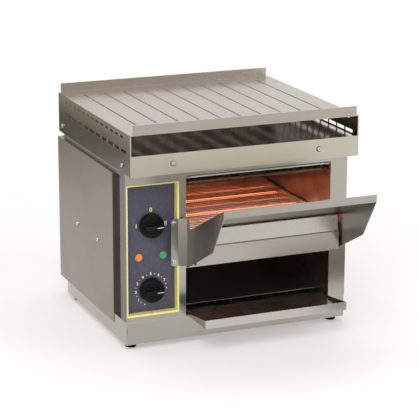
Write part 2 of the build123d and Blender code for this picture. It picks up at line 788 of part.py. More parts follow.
with BuildPart() as lower_deck:
    with BuildSketch(Plane.YZ):
        with BuildLine():
            Polyline(
                (front_y + sheet, lower_deck_top - deck_flange),
                (front_y + sheet, lower_deck_top),
                (rack_back_y - sheet, lower_deck_top),
            )
            offset(amount=sheet, side=Side.RIGHT)
        make_face()
    extrude(amount=rack_width / 2 - sheet, both=True)
    with BuildSketch(facing_front(front_y)):
        with Locations(*[(x, band_screw_z) for x in (-band_screw_x, band_screw_x)]):
            Circle(screw_r)
    extrude(amount=-3 * sheet, mode=Mode.SUBTRACT)
lower_deck.part.label = "lower_deck"
export_step(lower_deck.part, "parts/lower_deck.step")

with BuildPart() as roof_pan:
    with BuildSketch(Plane.XY.offset(roof_top)):
        with Locations((0, (roof_front_y + roof_back_y) / 2)):
            Rectangle(2 * roof_x, roof_back_y - roof_front_y)
    extrude(amount=panel_top + seam_gap - roof_top)
    open_sides = [roof_pan.faces().sort_by(Axis.Z)[0], roof_pan.faces().sort_by(Axis.Y)[0]]
    offset(amount=-sheet, openings=open_sides)
    with BuildSketch(facing_right(-rack_width / 2)):
        with Locations(*[(y, rack_screw_z) for y in rack_screw_ys]):
            Circle(screw_r)
    extrude(amount=rack_width, mode=Mode.SUBTRACT)
roof_pan.part.label = "roof_pan"
export_step(roof_pan.part, "parts/roof_pan.step")

band_places = [looking_front(x, front_y, band_screw_z) for x in (-band_screw_x, band_screw_x)]
band_screws = pan_head_screws(band_places, 2 * sheet + screw_hold)
band_screws.label = "band_screws"
export_step(band_screws, "parts/band_screws.step")

rack_x = rack_width / 2
rack_places = [looking_aside(side, y, rack_screw_z, rack_x) for side in (-1, 1) for y in rack_screw_ys]
rack_screws = pan_head_screws(rack_places, rack_x - roof_inner_x + screw_hold)
rack_screws.label = "rack_screws"
export_step(rack_screws, "parts/rack_screws.step")

# ================================================================ heating chamber
wall_outline = [
    (roof_front_y, pan_floor),
    (pan_back_y - sheet, pan_floor),
    (pan_back_y - sheet, pan_top + seam_gap),
    (back_y - sheet, pan_top + seam_gap),
    (back_y - sheet, panel_top - sheet - seam_gap),
    (roof_back_y - sheet, panel_top - sheet - seam_gap),
    (roof_back_y - sheet, roof_top - sheet),
    (roof_front_y, roof_top - sheet),
]
tube_places = [(y, z) for z in (upper_tube_z, lower_tube_z) for y in tube_ys]

for name, x in (("left_chamber_wall", wall_left - sheet), ("right_chamber_wall", wall_right)):
    with BuildPart() as wall:
        with BuildSketch(facing_right(x)):
            with BuildLine():
                Polyline(*wall_outline, close=True)
            make_face()
            with Locations(*tube_places):
                Circle(tube_r + hole_gap, mode=Mode.SUBTRACT)
            with Locations((rear_shaft_y, belt_z)):
                Circle(bush_r, mode=Mode.SUBTRACT)
        extrude(amount=sheet)
    wall.part.label = name
    export_step(wall.part, f"parts/{name}.step")

with BuildPart() as upper_reflector:
    with BuildSketch(facing_right(wall_left + lining_gap)):
        with BuildLine():
            Polyline(
                (tube_ys[0] - reflector_reach - reflector_skirt, upper_tube_z),
                (tube_ys[0] - reflector_reach, upper_tube_z + upper_reflector_rise),
                (tube_ys[-1] + reflector_reach, upper_tube_z + upper_reflector_rise),
                (tube_ys[-1] + reflector_reach + reflector_skirt, upper_tube_z),
            )
            offset(amount=sheet, side=Side.LEFT)
        make_face()
    extrude(amount=wall_span - 2 * lining_gap)
upper_reflector.part.label = "upper_reflector"
export_step(upper_reflector.part, "parts/upper_reflector.step")

lower_reflector_z = belt_z - lower_reflector_drop
lower_reflector_x = rail_left + rail_sheet + lining_gap
fold = reflector_skirt / 2
with BuildPart() as lower_reflector:
    with BuildSketch(facing_right(lower_reflector_x)):
        with BuildLine():
            Polyline(
                (tube_ys[0] - reflector_reach - fold, lower_reflector_z + fold),
                (tube_ys[0] - reflector_reach, lower_reflector_z),
                (tube_ys[-1] + reflector_reach, lower_reflector_z),
                (tube_ys[-1] + reflector_reach + fold, lower_reflector_z + fold),
            )
            offset(amount=sheet, side=Side.LEFT)
        make_face()
    extrude(amount=2 * (chamber_x - lower_reflector_x))
lower_reflector.part.label = "lower_reflector"
export_step(lower_reflector.part, "parts/lower_reflector.step")

for name, z in (("upper_tubes", upper_tube_z), ("lower_tubes", lower_tube_z)):
    with BuildPart() as tubes:
        with BuildSketch(facing_right(wall_left - sheet)):
            with Locations(*[(y, z) for y in tube_ys]):
                Circle(tube_r)
        extrude(amount=wall_span + 2 * sheet)
    tubes.part.label = name
    export_step(tubes.part, f"parts/{name}.step")

with BuildPart() as tube_holders:
    for x, length in ((wall_left - sheet, -holder_length), (wall_right + sheet, holder_length)):
        with BuildSketch(facing_right(x)):
            with Locations(*tube_places):
                Rectangle(holder_size, holder_size)
        extrude(amount=length)
tube_holders.part.label = "tube_holders"
export_step(tube_holders.part, "parts/tube_holders.step")

with BuildPart() as guard_rod:
    with BuildSketch(facing_right(wall_left)):
        with Locations((fascia_y + guard_setback, mouth_top - guard_drop)):
            Circle(guard_r)
    extrude(amount=wall_span)
guard_rod.part.label = "guard_rod"
export_step(guard_rod.part, "parts/guard_rod.step")

# ================================================================ conveyor
rail_start = front_shaft_y - rail_front
rail_end = rear_shaft_y + rail_back
pad_ys = (tube_ys[0] - tube_pitch / 4, tube_ys[-1] + tube_pitch / 4)
shaft_ys = (front_shaft_y, rear_shaft_y)

for name, x, outward in (("left_belt_rail", rail_left, -1), ("right_belt_rail", rail_right, 1)):
    with BuildPart() as rail:
        with BuildSketch(facing_right(x)):
            with Locations(((rail_start + rail_end) / 2, belt_z + (rail_high - rail_low) / 2)):
                Rectangle(rail_end - rail_start, rail_high + rail_low)
            chamfer(vertices(), rail_chamfer)
            with Locations(*[(y, belt_z) for y in shaft_ys]):
                Circle(bush_r, mode=Mode.SUBTRACT)
            with Locations(*[(y, lower_tube_z) for y in tube_ys]):
                Circle(tube_r + hole_gap, mode=Mode.SUBTRACT)
        extrude(amount=-outward * rail_sheet)
        with BuildSketch(facing_right(x)):
            with Locations(*[(y, belt_z) for y in pad_ys]):
                Rectangle(rail_pad, rail_pad)
        extrude(amount=outward * rail_gap)
    rail.part.label = name
    export_step(rail.part, f"parts/{name}.step")

# The belt: cross rods at an even pitch, tied at their ends by a strip that runs round the loop.
belt_loop = loop_pins(rod_pitch, belt_teeth, belt_spans)
rod_points = [(front_shaft_y + along, belt_z + across) for along, across in belt_loop]
strip_starts = (belt_left, belt_left + belt_width - strip_width)
with BuildPart() as wire_belt:
    with BuildSketch(facing_right(belt_left + strip_width)):
        with Locations(*rod_points):
            RegularPolygon(rod_r, 6)
    extrude(amount=belt_width - 2 * strip_width)
    for x in strip_starts:
        with BuildSketch(facing_right(x)):
            with Locations((tube_mid_y, belt_z)):
                SlotCenterToCenter(shaft_spacing, 2 * belt_out_r)
                SlotCenterToCenter(shaft_spacing, 2 * (belt_out_r - strip_height), mode=Mode.SUBTRACT)
        extrude(amount=strip_width)
wire_belt.part.label = "wire_belt"
export_step(wire_belt.part, "parts/wire_belt.step")

# Belt sprockets: the teeth stand between the rods, so a rod sits in each root.
root_r = rod_path_r - rod_r - slide_gap
tooth_height = rod_path_r + tooth_tip - root_r + slide_gap
first_sprocket_x = belt_left + sprocket_inset - sprocket_width / 2
sprocket_step = (belt_width - 2 * sprocket_inset) / (sprocket_count - 1)
for name, y in (("front", front_shaft_y), ("rear", rear_shaft_y)):
    with BuildPart() as sprockets:
        for k in range(sprocket_count):
            with BuildSketch(facing_right(first_sprocket_x + k * sprocket_step)):
                with Locations((y, belt_z)):
                    Circle(root_r)
                    with PolarLocations(root_r - slide_gap + tooth_height / 2, belt_teeth, 180 / belt_teeth):
                        Rectangle(tooth_height, tooth_width)
                    Circle(shaft_r, mode=Mode.SUBTRACT)
            extrude(amount=sprocket_width)
    sprockets.part.label = f"{name}_belt_sprockets"
    export_step(sprockets.part, f"parts/{name}_belt_sprockets.step")

with BuildPart() as front_shaft:
    with BuildSketch(facing_right(wall_left + slide_gap)):
        with Locations((front_shaft_y, belt_z)):
            Circle(shaft_r)
    extrude(amount=wall_span - 2 * slide_gap)
front_shaft.part.label = "front_shaft"
export_step(front_shaft.part, "parts/front_shaft.step")

rear_shaft_left = chain_x - sprocket_thickness
with BuildPart() as rear_shaft:
    with BuildSketch(facing_right(rear_shaft_left)):
        with Locations((rear_shaft_y, belt_z)):
            Circle(shaft_r)
    extrude(amount=wall_right + sheet + shaft_end - rear_shaft_left)
rear_shaft.part.label = "rear_shaft"
export_step(rear_shaft.part, "parts/rear_shaft.step")

# Bushes: the front pair in the rails, the rear pair through rail and chamber wall.
with BuildPart() as shaft_bushes:
    for x, inward in ((rail_left, 1), (rail_right, -1)):
        for y, outer in ((front_shaft_y, 0), (rear_shaft_y, rail_gap + sheet)):
            with BuildSketch(facing_right(x - inward * outer)):
                with Locations((y, belt_z)):
                    Circle(bush_r)
                    Circle(shaft_r + run_gap, mode=Mode.SUBTRACT)
            extrude(amount=inward * (outer + rail_sheet))
shaft_bushes.part.label = "shaft_bushes"
export_step(shaft_bushes.part, "parts/shaft_bushes.step")


# ================================================================ drive
def chain_sprocket(z, bore_r):
    """Roller-chain sprocket with a hub towards the chamber wall."""
    with BuildPart() as wheel:
        with BuildSketch(facing_right(chain_x - sprocket_thickness / 2)):
            with Locations((rear_shaft_y, z)):
                Circle(chain_r + chain_tip)
                with PolarLocations(chain_r, chain_teeth):
                    Circle(chain_roller_r + slide_gap, mode=Mode.SUBTRACT)
                Circle(bore_r, mode=Mode.SUBTRACT)
        extrude(amount=sprocket_thickness)
        with BuildSketch(facing_right(chain_x + sprocket_thickness / 2)):
            with Locations((rear_shaft_y, z)):
                Circle(bore_r + hub_wall)
                Circle(bore_r, mode=Mode.SUBTRACT)
        extrude(amount=hub_length)
    return wheel.part


drive_sprocket = chain_sprocket(belt_z, shaft_r)
drive_sprocket.label = "drive_sprocket"
export_step(drive_sprocket, "parts/drive_sprocket.step")

motor_sprocket = chain_sprocket(motor_z, motor_shaft_r)
motor_sprocket.label = "motor_sprocket"
export_step(motor_sprocket, "parts/motor_sprocket.step")

# The chain hangs from the drive sprocket down to the motor's, every second link wider than its neighbours.
chain_loop = loop_pins(chain_pitch, chain_teeth, chain_spans)
chain_pins = [(rear_shaft_y + across, belt_z - along) for along, across in chain_loop]
with BuildPart() as drive_chain:
    with BuildSketch(facing_right(chain_x - chain_inner / 2)):
        with Locations(*chain_pins):
            RegularPolygon(chain_roller_r, 8)
    extrude(amount=chain_inner)
    for k, start in enumerate(chain_pins):
        end = chain_pins[(k + 1) % len(chain_pins)]
        lean = degrees(atan2(end[1] - start[1], end[0] - start[0]))
        middle = Location(((start[0] + end[0]) / 2, (start[1] + end[1]) / 2), lean)
        link_inner = chain_inner / 2 + (k % 2) * chain_plate
        for side in (-1, 1):
            with BuildSketch(facing_right(chain_x + side * link_inner)):
                with Locations(middle):
                    Rectangle(chain_pitch + chain_plate_height, chain_plate_height)
                chamfer(vertices(), chain_plate_chamfer)
            extrude(amount=side * chain_plate)
drive_chain.part.label = "drive_chain"
export_step(drive_chain.part, "parts/drive_chain.step")

with BuildPart() as gear_motor:
    with Locations((gearbox_right - gearbox_size[0] / 2, rear_shaft_y, motor_z)):
        Box(*gearbox_size)
    chamfer(gear_motor.edges().filter_by(Axis.X), gearbox_chamfer)
    with BuildSketch(facing_right(gearbox_right - gearbox_size[0])):
        with Locations((rear_shaft_y, motor_z)):
            Circle(motor_can_r)
    extrude(amount=-motor_can_length)
    with BuildSketch(facing_right(gearbox_right)):
        with Locations((rear_shaft_y, motor_z)):
            Circle(motor_shaft_r + run_gap)
    extrude(amount=-(motor_shaft_depth + spindle_end_gap), mode=Mode.SUBTRACT)
gear_motor.part.label = "gear_motor"
export_step(gear_motor.part, "parts/gear_motor.step")

bracket_top = motor_z + bracket_above
with BuildPart() as motor_bracket:
    with BuildSketch(facing_right(gearbox_right)):
        with Locations((rear_shaft_y, (pan_floor + bracket_top) / 2)):
            Rectangle(bracket_width, bracket_top - pan_floor)
        with Locations((rear_shaft_y, motor_z)):
            Circle(motor_shaft_r + hub_wall, mode=Mode.SUBTRACT)
    extrude(amount=rail_sheet)
    with BuildSketch(Plane.XY.offset(pan_floor)):
        with Locations((gearbox_right - bracket_foot / 2, rear_shaft_y)):
            Rectangle(bracket_foot, bracket_width)
    extrude(amount=rail_sheet)
motor_bracket.part.label = "motor_bracket"
export_step(motor_bracket.part, "parts/motor_bracket.step")

motor_shaft_left = gearbox_right - motor_shaft_depth
with BuildPart() as motor_shaft:
    with BuildSketch(facing_right(motor_shaft_left)):
        with Locations((rear_shaft_y, motor_z)):
            Circle(motor_shaft_r)
    extrude(amount=chain_x + sprocket_thickness / 2 + hub_length + spindle_end_gap - motor_shaft_left)
motor_shaft.part.label = "motor_shaft"
export_step(motor_shaft.part, "parts/motor_shaft.step")

# ================================================================ feed tray
feed_end_y = feed_tip_y + feed_floor * cos(radians(feed_slope))
feed_end_z = feed_tip_z - feed_floor * sin(radians(feed_slope))
cheek_rear_y = fascia_y - ear_joggle[1]
cheek_rear_z = feed_tip_z - (cheek_rear_y - feed_tip_y) * tan(radians(feed_slope))
cheek_outline = [
    (feed_tip_y, feed_tip_z - edge_gap),
    (feed_tip_y, feed_tip_z - feed_lip),
    (feed_tip_y + cheek_corner[0], feed_tip_z - feed_lip - cheek_corner[1]),
    (cheek_rear_y, mouth_bottom - cheek_drop),
    (cheek_rear_y, cheek_rear_z - edge_gap),
]

with BuildPart() as feed_tray:
    with BuildSketch(facing_right(feed_left)):
        with BuildLine():
            Polyline(
                (feed_tip_y, feed_tip_z - feed_lip),
                (feed_tip_y, feed_tip_z),
                (feed_end_y, feed_end_z),
            )
            offset(amount=thick_sheet, side=Side.RIGHT)
        make_face()
    extrude(amount=feed_width)
    for x in (feed_left, feed_right - thick_sheet):
        with BuildSketch(facing_right(x)):
            with BuildLine():
                Polyline(*cheek_outline, close=True)
            make_face()
        extrude(amount=thick_sheet)
    for side in (-1, 1):
        ear_inner = chamber_x + side * (feed_width / 2 - thick_sheet)
        with BuildSketch(Plane.XY.offset(ear_bottom)):
            with BuildLine():
                Polyline(
                    (chamber_x + side * ear_edge, fascia_y),
                    (chamber_x + side * (ear_edge - ear_width), fascia_y),
                    (ear_inner, cheek_rear_y),
                    (ear_inner, cheek_rear_y - cheek_hem),
                )
                offset(amount=thick_sheet, side=Side.RIGHT if side < 0 else Side.LEFT)
            make_face()
        extrude(amount=ear_height)
    with BuildSketch(facing_front(fascia_y)):
        with Locations(*[(x, z) for x in ear_screw_xs for z in ear_screw_zs]):
            Circle(screw_r + hole_gap)
    extrude(amount=thick_sheet, mode=Mode.SUBTRACT)
    ear_edges = feed_tray.edges().filter_by(Axis.Y)
    fillet(ear_edges.group_by(Axis.X)[0] + ear_edges.group_by(Axis.X)[-1], ear_round)
feed_tray.part.label = "feed_tray"
export_step(feed_tray.part, "parts/feed_tray.step")

ear_places = [looking_front(x, fascia_y - thick_sheet, z) for x in ear_screw_xs for z in ear_screw_zs]
tray_screws = pan_head_screws(ear_places, thick_sheet + bezel_depth + panel_sheet + screw_hold)
tray_screws.label = "tray_screws"
export_step(tray_screws, "parts/tray_screws.step")

spacer_r = 4.5
with BuildPart() as ear_spacers:
    with BuildSketch(facing_front(panel_face)):
        with Locations(*[(ear_screw_xs[0], z) for z in ear_screw_zs]):
            Circle(spacer_r)
            Circle(screw_r, mode=Mode.SUBTRACT)
    extrude(amount=bezel_depth)
ear_spacers.part.label = "ear_spacers"
export_step(ear_spacers.part, "parts/ear_spacers.step")

# ================================================================ front shield
shield_y = front_y - shield_reach
shield_bottom = mouth_bottom - shield_drop
shield_top = shield_bottom + shield_height
shield_left = rail_left + rail_sheet
shield_right = rail_right - rail_sheet
with BuildPart() as front_shield:
    with BuildSketch(facing_right(shield_left)):
        with BuildLine():
            Polyline(
                (fascia_y, shield_bottom),
                (shield_y, shield_bottom),
                (shield_y, shield_top),
                (shield_y - shield_lip, shield_top + shield_lip),
            )
            offset(amount=sheet, side=Side.RIGHT)
        make_face()
    extrude(amount=shield_right - shield_left)
    for x in (shield_left, shield_right - sheet):
        with BuildSketch(facing_right(x)):
            with Locations((shield_y + shield_wing[0] / 2, shield_bottom + shield_wing[1] / 2)):
                Rectangle(*shield_wing)
        extrude(amount=sheet)
front_shield.part.label = "front_shield"
export_step(front_shield.part, "parts/front_shield.step")

# ================================================================ return chute and collection tray
chute_end_y = fascia_y + chute_end_setback
chute_end_z = tray_z + chute_end_rise
chute_corner_z = chute_end_z + (chute_back_y - chute_end_y) * tan(radians(chute_slope))
chute_top = panel_top - sheet - seam_gap
with BuildPart() as return_chute:
    with BuildSketch(facing_right(wall_left + seam_gap)):
        with BuildLine():
            FilletPolyline(
                (chute_end_y, chute_end_z),
                (chute_back_y, chute_corner_z),
                (chute_back_y, chute_top),
                radius=chute_bend_r,
            )
            offset(amount=sheet, side=Side.RIGHT)
        make_face()
    extrude(amount=wall_span - 2 * seam_gap)
return_chute.part.label = "return_chute"
export_step(return_chute.part, "parts/return_chute.step")

runner_mid_y = roof_front_y + sheet + runner_length / 2
with BuildPart() as tray_runners:
    for wall_x, inward in ((wall_left, 1), (wall_right, -1)):
        with BuildSketch(facing_front(roof_front_y + sheet)):
            with BuildLine():
                Polyline(
                    (wall_x, pan_top - runner_drop),
                    (wall_x, pan_top),
                    (wall_x + inward * runner_width, pan_top),
                )
                offset(amount=sheet, side=Side.RIGHT if inward > 0 else Side.LEFT)
            make_face()
        extrude(amount=-runner_length)
tray_runners.part.label = "tray_runners"
export_step(tray_runners.part, "parts/tray_runners.step")

tray_outline = [
    (tray_front_y, tray_z),
    (tray_back_y, tray_z),
    (tray_back_y, tray_z + tray_low_wall),
    (fascia_y, tray_z + tray_low_wall),
    (tray_front_y, tray_z + tray_front_wall),
]
with BuildPart() as collection_tray:
    with BuildSketch(facing_right(chamber_x - tray_width / 2)):
        with BuildLine():
            Polyline(*tray_outline, close=True)
        make_face()
    extrude(amount=tray_width)
    with BuildSketch(Plane.XY.offset(tray_z + sheet)):
        with Locations((chamber_x, (tray_front_y + tray_back_y) / 2)):
            Rectangle(tray_width - 2 * sheet, tray_depth - 2 * sheet)
    extrude(amount=tray_front_wall, mode=Mode.SUBTRACT)
collection_tray.part.label = "collection_tray"
export_step(collection_tray.part, "parts/collection_tray.step")

print("rods", len(rod_points), "chain pins", len(chain_pins), "shaft spacing", shaft_spacing)
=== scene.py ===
"""Conveyor toaster with a warming rack: finishes, screws, controls, tubes and trim around the solid parts."""

import logging
import math
from collections.abc import Callable, Iterable, Iterator
from contextlib import contextmanager
from dataclasses import dataclass, field
from enum import Enum

import bmesh
import bpy
from mathutils import Matrix, Vector


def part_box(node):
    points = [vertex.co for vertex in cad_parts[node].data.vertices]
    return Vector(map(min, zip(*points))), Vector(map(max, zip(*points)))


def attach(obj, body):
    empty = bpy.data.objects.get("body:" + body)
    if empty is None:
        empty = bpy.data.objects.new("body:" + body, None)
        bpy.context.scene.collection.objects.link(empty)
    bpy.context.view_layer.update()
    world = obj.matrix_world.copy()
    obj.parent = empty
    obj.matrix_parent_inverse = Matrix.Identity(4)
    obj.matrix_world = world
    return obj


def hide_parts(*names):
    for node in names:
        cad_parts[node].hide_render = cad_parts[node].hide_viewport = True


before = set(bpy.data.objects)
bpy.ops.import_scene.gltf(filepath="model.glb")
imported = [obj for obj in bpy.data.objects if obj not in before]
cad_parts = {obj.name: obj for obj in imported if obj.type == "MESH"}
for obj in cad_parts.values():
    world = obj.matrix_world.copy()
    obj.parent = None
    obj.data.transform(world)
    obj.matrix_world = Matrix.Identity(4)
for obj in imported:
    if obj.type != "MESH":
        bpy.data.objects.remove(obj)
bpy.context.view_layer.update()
log = logging.getLogger("toaster")

Colour = tuple[float, float, float]
Socket = bpy.types.NodeSocket
Piece = bpy.types.Object
MM = 0.001
TINY = 0.01 * MM
FACING = 0.9


def equip(thing: object, **settings: object) -> object:
    """Sets properties of a thing.

    Args:
        thing: A modifier, an object or an object's data.
        settings: The properties by name.

    Returns:
        The thing.
    """
    for name, value in settings.items():
        setattr(thing, name, value)
    return thing


class Axis(Enum):
    """Directions that a screw, a lens or a tube can face."""

    RIGHT = (1.0, 0.0, 0.0)
    LEFT = (-1.0, 0.0, 0.0)
    FRONT = (0.0, -1.0, 0.0)
    BACK = (0.0, 1.0, 0.0)

    def at(self, point: Iterable[float]) -> Matrix:
        """The matrix that takes a piece built along +Z to a point, facing this way."""
        turn = Vector((0, 0, 1)).rotation_difference(Vector(self.value))
        return Matrix.Translation(Vector(point)) @ turn.to_matrix().to_4x4()


class Ends(Enum):
    """Which flat ends of a piece built along Z are meant, by the sign of their normals."""

    TOP = (1,)
    BOTTOM = (-1,)
    BOTH = (1, -1)


class Grain(Enum):
    """How the brushing runs on a sheet: the pattern is long on that axis and fine on the others."""

    ALONG_X = (9.0, 900.0, 900.0)
    ALONG_Y = (900.0, 9.0, 900.0)


# ------------------------------------------------------------------ shader node groups
@dataclass
class Board:
    """A node tree with short ways to place and wire its nodes.

    Args:
        tree: The node tree.
    """

    tree: bpy.types.NodeTree

    def feed(self, slot: Socket, value: object) -> None:
        """Links a socket to an input, or sets the input to a number, a vector or a colour.

        Args:
            slot: The input.
            value: A socket, or what the input is set to.
        """
        if isinstance(value, bpy.types.NodeSocket):
            self.tree.links.new(value, slot)
        else:
            slot.default_value = (*value, 1.0) if slot.type == "RGBA" else value

    def put(self, kind: str, **settings: object) -> bpy.types.Node:
        """Adds a node.

        Args:
            kind: The node's type, without the words that every shader node shares.
            settings: Its properties by name, and its inputs by name with spaces as underscores.

        Returns:
            The new node.
        """
        node = self.tree.nodes.new(kind if kind.startswith("NodeGroup") else "ShaderNode" + kind)
        for name, value in settings.items():
            if hasattr(node, name):
                setattr(node, name, value)
            else:
                self.feed(node.inputs[name.replace("_", " ")], value)
        return node

    def fill(self, node: bpy.types.Node, *values: object) -> bpy.types.Node:
        """Feeds a node's inputs in their order and returns the node."""
        for slot, value in zip(node.inputs, values):
            self.feed(slot, value)
        return node

    def reckon(self, operation: str, *values: object, clamp: bool = False) -> Socket:
        """A Math node's result on sockets or numbers, kept from 0 to 1 if clamp is set."""
        return self.fill(self.put("Math", operation=operation, use_clamp=clamp), *values).outputs[0]

    def ramp(self, value: Socket, low: float, high: float, **ends: object) -> Socket:
        """A soft step of a value from low to high, from 0 to 1 or between the given ends."""
        return self.put("MapRange", interpolation_type="SMOOTHSTEP", Value=value, From_Min=low,
                        From_Max=high, **ends).outputs[0]

    def blend(self, share: object, low: object, high: object) -> Socket:
        """A colour mix.

        Args:
            share: Socket or number from 0 to 1.
            low: Colour or socket at 0.
            high: Colour or socket at 1.

        Returns:
            The mixed colour's socket.
        """
        node = self.put("Mix", data_type="RGBA")
        colour_slots = (0, 6, 7)
        for index, value in zip(colour_slots, (share, low, high)):
            self.feed(node.inputs[index], value)
        return node.outputs[2]

    def show(self, output: str, share: Socket, low: bpy.types.Node, high: bpy.types.Node) -> None:
        """Sends the mix of two shaders to an output node."""
        mixer = self.fill(self.put("MixShader"), share, low.outputs[0], high.outputs[0])
        self.feed(self.tree.nodes[output].inputs["Surface"], mixer.outputs[0])


@dataclass
class EffectKit:
    """The shader effects that several finishes share, each a node group built once.

    Args:
        made: The groups by name.
        kinds: The kinds of the sockets that don't hold a number.
    """

    made: dict[str, bpy.types.NodeTree] = field(default_factory=dict)
    kinds: dict[str, str] = field(default_factory=lambda: {
        "Vector": "Vector", "Stretch": "Vector", "Metal": "Color", "Straw": "Color", "Colour": "Color"})

    def start(self, name: str, inputs: str, outputs: str) -> tuple[Board, object, object]:
        """Starts a node group.

        Args:
            name: Its name.
            inputs: The names of its inputs.
            outputs: The names of its outputs.

        Returns:
            A board on its tree, the inputs that it is given, and its results.
        """
        tree = self.made[name] = bpy.data.node_groups.new(name, "ShaderNodeTree")
        for side, labels in (("INPUT", inputs), ("OUTPUT", outputs)):
            for label in labels.split():
                kind = "NodeSocket" + self.kinds.get(label, "Float")
                tree.interface.new_socket(name=label, in_out=side, socket_type=kind)
        board = Board(tree)
        return board, board.put("NodeGroupInput").outputs, board.put("NodeGroupOutput").inputs

    def build(self) -> None:
        """Builds every group."""
        self.build_brushing()
        self.build_edge_wear_and_highlight()
        self.build_handling()
        self.build_speckle()
        self.build_heat_tint()

    def build_brushing(self) -> None:
        """Fine lines of a brushed sheet, long on one axis, with a slower drift between bundles of lines."""
        board, given, result = self.start("brushing", "Vector Stretch", "Lines Bundles")
        stretch = board.put("VectorMath", operation="MULTIPLY")
        spot = board.fill(stretch, given["Vector"], given["Stretch"]).outputs[0]
        lines = board.put("TexNoise", Vector=spot, Scale=1.0, Detail=3.0, Roughness=0.6)
        bundles = board.put("TexNoise", Vector=spot, Scale=0.07, Detail=2.0, Roughness=0.5)
        board.feed(result["Lines"], lines.outputs[0])
        board.feed(result["Bundles"], bundles.outputs[0])

    def build_edge_wear_and_highlight(self) -> None:
        """A mask that is 1 on outer edges, where hands and cloths have polished and worn the surface; the
        lighter edges it gives brushed steel and the knobs are also a painted highlight.
        """
        board, given, result = self.start("edge_wear_and_highlight", "Radius Gain", "Mask")
        rounded = board.put("Bevel", samples=4, Radius=given["Radius"]).outputs[0]
        flat = board.put("NewGeometry").outputs["True Normal"]
        agreement = board.fill(board.put("VectorMath", operation="DOT_PRODUCT"), rounded, flat)
        away = board.reckon("SUBTRACT", 1.0, agreement.outputs["Value"], clamp=True)
        board.feed(result["Mask"], board.reckon("MULTIPLY", away, given["Gain"], clamp=True))

    def build_handling(self) -> None:
        """Soft smudges and wipe marks, from 0 where the surface is clean to 1 where it is dulled."""
        board, given, result = self.start("handling", "Vector Size Spread", "Smudge Drift")
        patches = board.put("TexNoise", Vector=given["Vector"], Scale=given["Size"], Detail=4.0,
                            Roughness=0.55, Distortion=0.4)
        drift = board.put("TexNoise", Vector=given["Vector"], Scale=2.2, Detail=1.0)
        board.feed(result["Smudge"], board.ramp(patches.outputs[0], 0.36, 0.80, To_Max=given["Spread"]))
        board.feed(result["Drift"], drift.outputs[0])

    def build_speckle(self) -> None:
        """The small pits of moulded plastic, rubber, castings and orange-peel paint."""
        board, given, result = self.start("speckle", "Vector Fineness", "Height Dots")
        size = {"Vector": given["Vector"], "Scale": given["Fineness"]}
        board.feed(result["Height"], board.put("TexNoise", Detail=2.0, Roughness=0.6, **size).outputs[0])
        board.feed(result["Dots"], board.put("TexVoronoi", **size).outputs["Distance"])

    def build_heat_tint(self) -> None:
        """Straw and brown patches of steel that has been hot."""
        board, given, result = self.start("heat_tint", "Vector Metal Straw Amount", "Colour Mask")
        clouds = board.put("TexNoise", Vector=given["Vector"], Scale=14.0, Detail=3.0, Roughness=0.6)
        patches = board.ramp(clouds.outputs[0], 0.4, 0.65)
        share = board.reckon("MULTIPLY", patches, given["Amount"], clamp=True)
        board.feed(result["Colour"], board.blend(share, given["Metal"], given["Straw"]))
        board.feed(result["Mask"], share)


@dataclass
class Coat(Board):
    """A material in the making.

    Args:
        shader: Its Principled node.
        effects: The shared effects, if it has any.
        place: The object coordinates.
    """

    shader: bpy.types.Node
    effects: EffectKit | None
    place: Socket = field(init=False)

    def __post_init__(self) -> None:
        """Adds the object coordinates."""
        self.place = self.put("TexCoord").outputs["Object"]

    def give(self, **values: object) -> None:
        """Sets or links the shader's inputs, by name with spaces as underscores."""
        for name, value in values.items():
            self.feed(self.shader.inputs[name.replace("_", " ")], value)

    def effect(self, name: str, **values: object) -> bpy.types.bpy_prop_collection:
        """Places a shared effect, on the object coordinates where it has a pattern.

        Args:
            name: The effect's name.
            values: Numbers, colours or sockets for its inputs.

        Returns:
            Its outputs.
        """
        node = self.put("Group")
        node.node_tree = self.effects.made[name]
        if "Vector" in node.inputs:
            values["Vector"] = self.place
        for label, value in values.items():
            self.feed(node.inputs[label], value)
        return node.outputs

    def roughen(self, mask: Socket, spread: float, base: float) -> None:
        """Makes the roughness rise by a spread where a mask is 1."""
        self.give(Roughness=self.reckon("MULTIPLY_ADD", mask, spread, base))

    def rise(self, height: Socket, strength: float, depth: float) -> None:
        """Feeds a height to the shader's normal through a Bump node."""
        self.give(Normal=self.put("Bump", Strength=strength, Distance=depth, Height=height).outputs[0])


# ------------------------------------------------------------------ finishes
def toned(colour: Colour, share: float, lift: float = 0.0) -> Colour:
    """A colour times a share, with a lift on top, up to white."""
    return tuple(min(1.0, part * share + lift) for part in colour)


@dataclass(frozen=True)
class Finish:
    """What every finish has.

    Args:
        name: The material's name.
        colour: Its main colour.
        roughness: Its mean roughness.
        nodes: The carried-over nodes that wear it.
    """

    name: str
    colour: Colour
    roughness: float
    nodes: str = ""

    def make(self, effects: EffectKit | None = None) -> bpy.types.Material:
        """Makes the material.

        Args:
            effects: The shared effects, if it has any.

        Returns:
            The material.
        """
        material = equip(bpy.data.materials.new(self.name), use_nodes=True, diffuse_color=(*self.colour, 1.0))
        tree = material.node_tree
        coat = Coat(tree, tree.nodes["Principled BSDF"], effects)
        coat.give(Base_Color=self.colour, Roughness=self.roughness)
        self.paint(coat)
        return material

    def paint(self, coat: Coat) -> None:
        """Adds what makes the finish to a plain coat, which stays as it is here."""


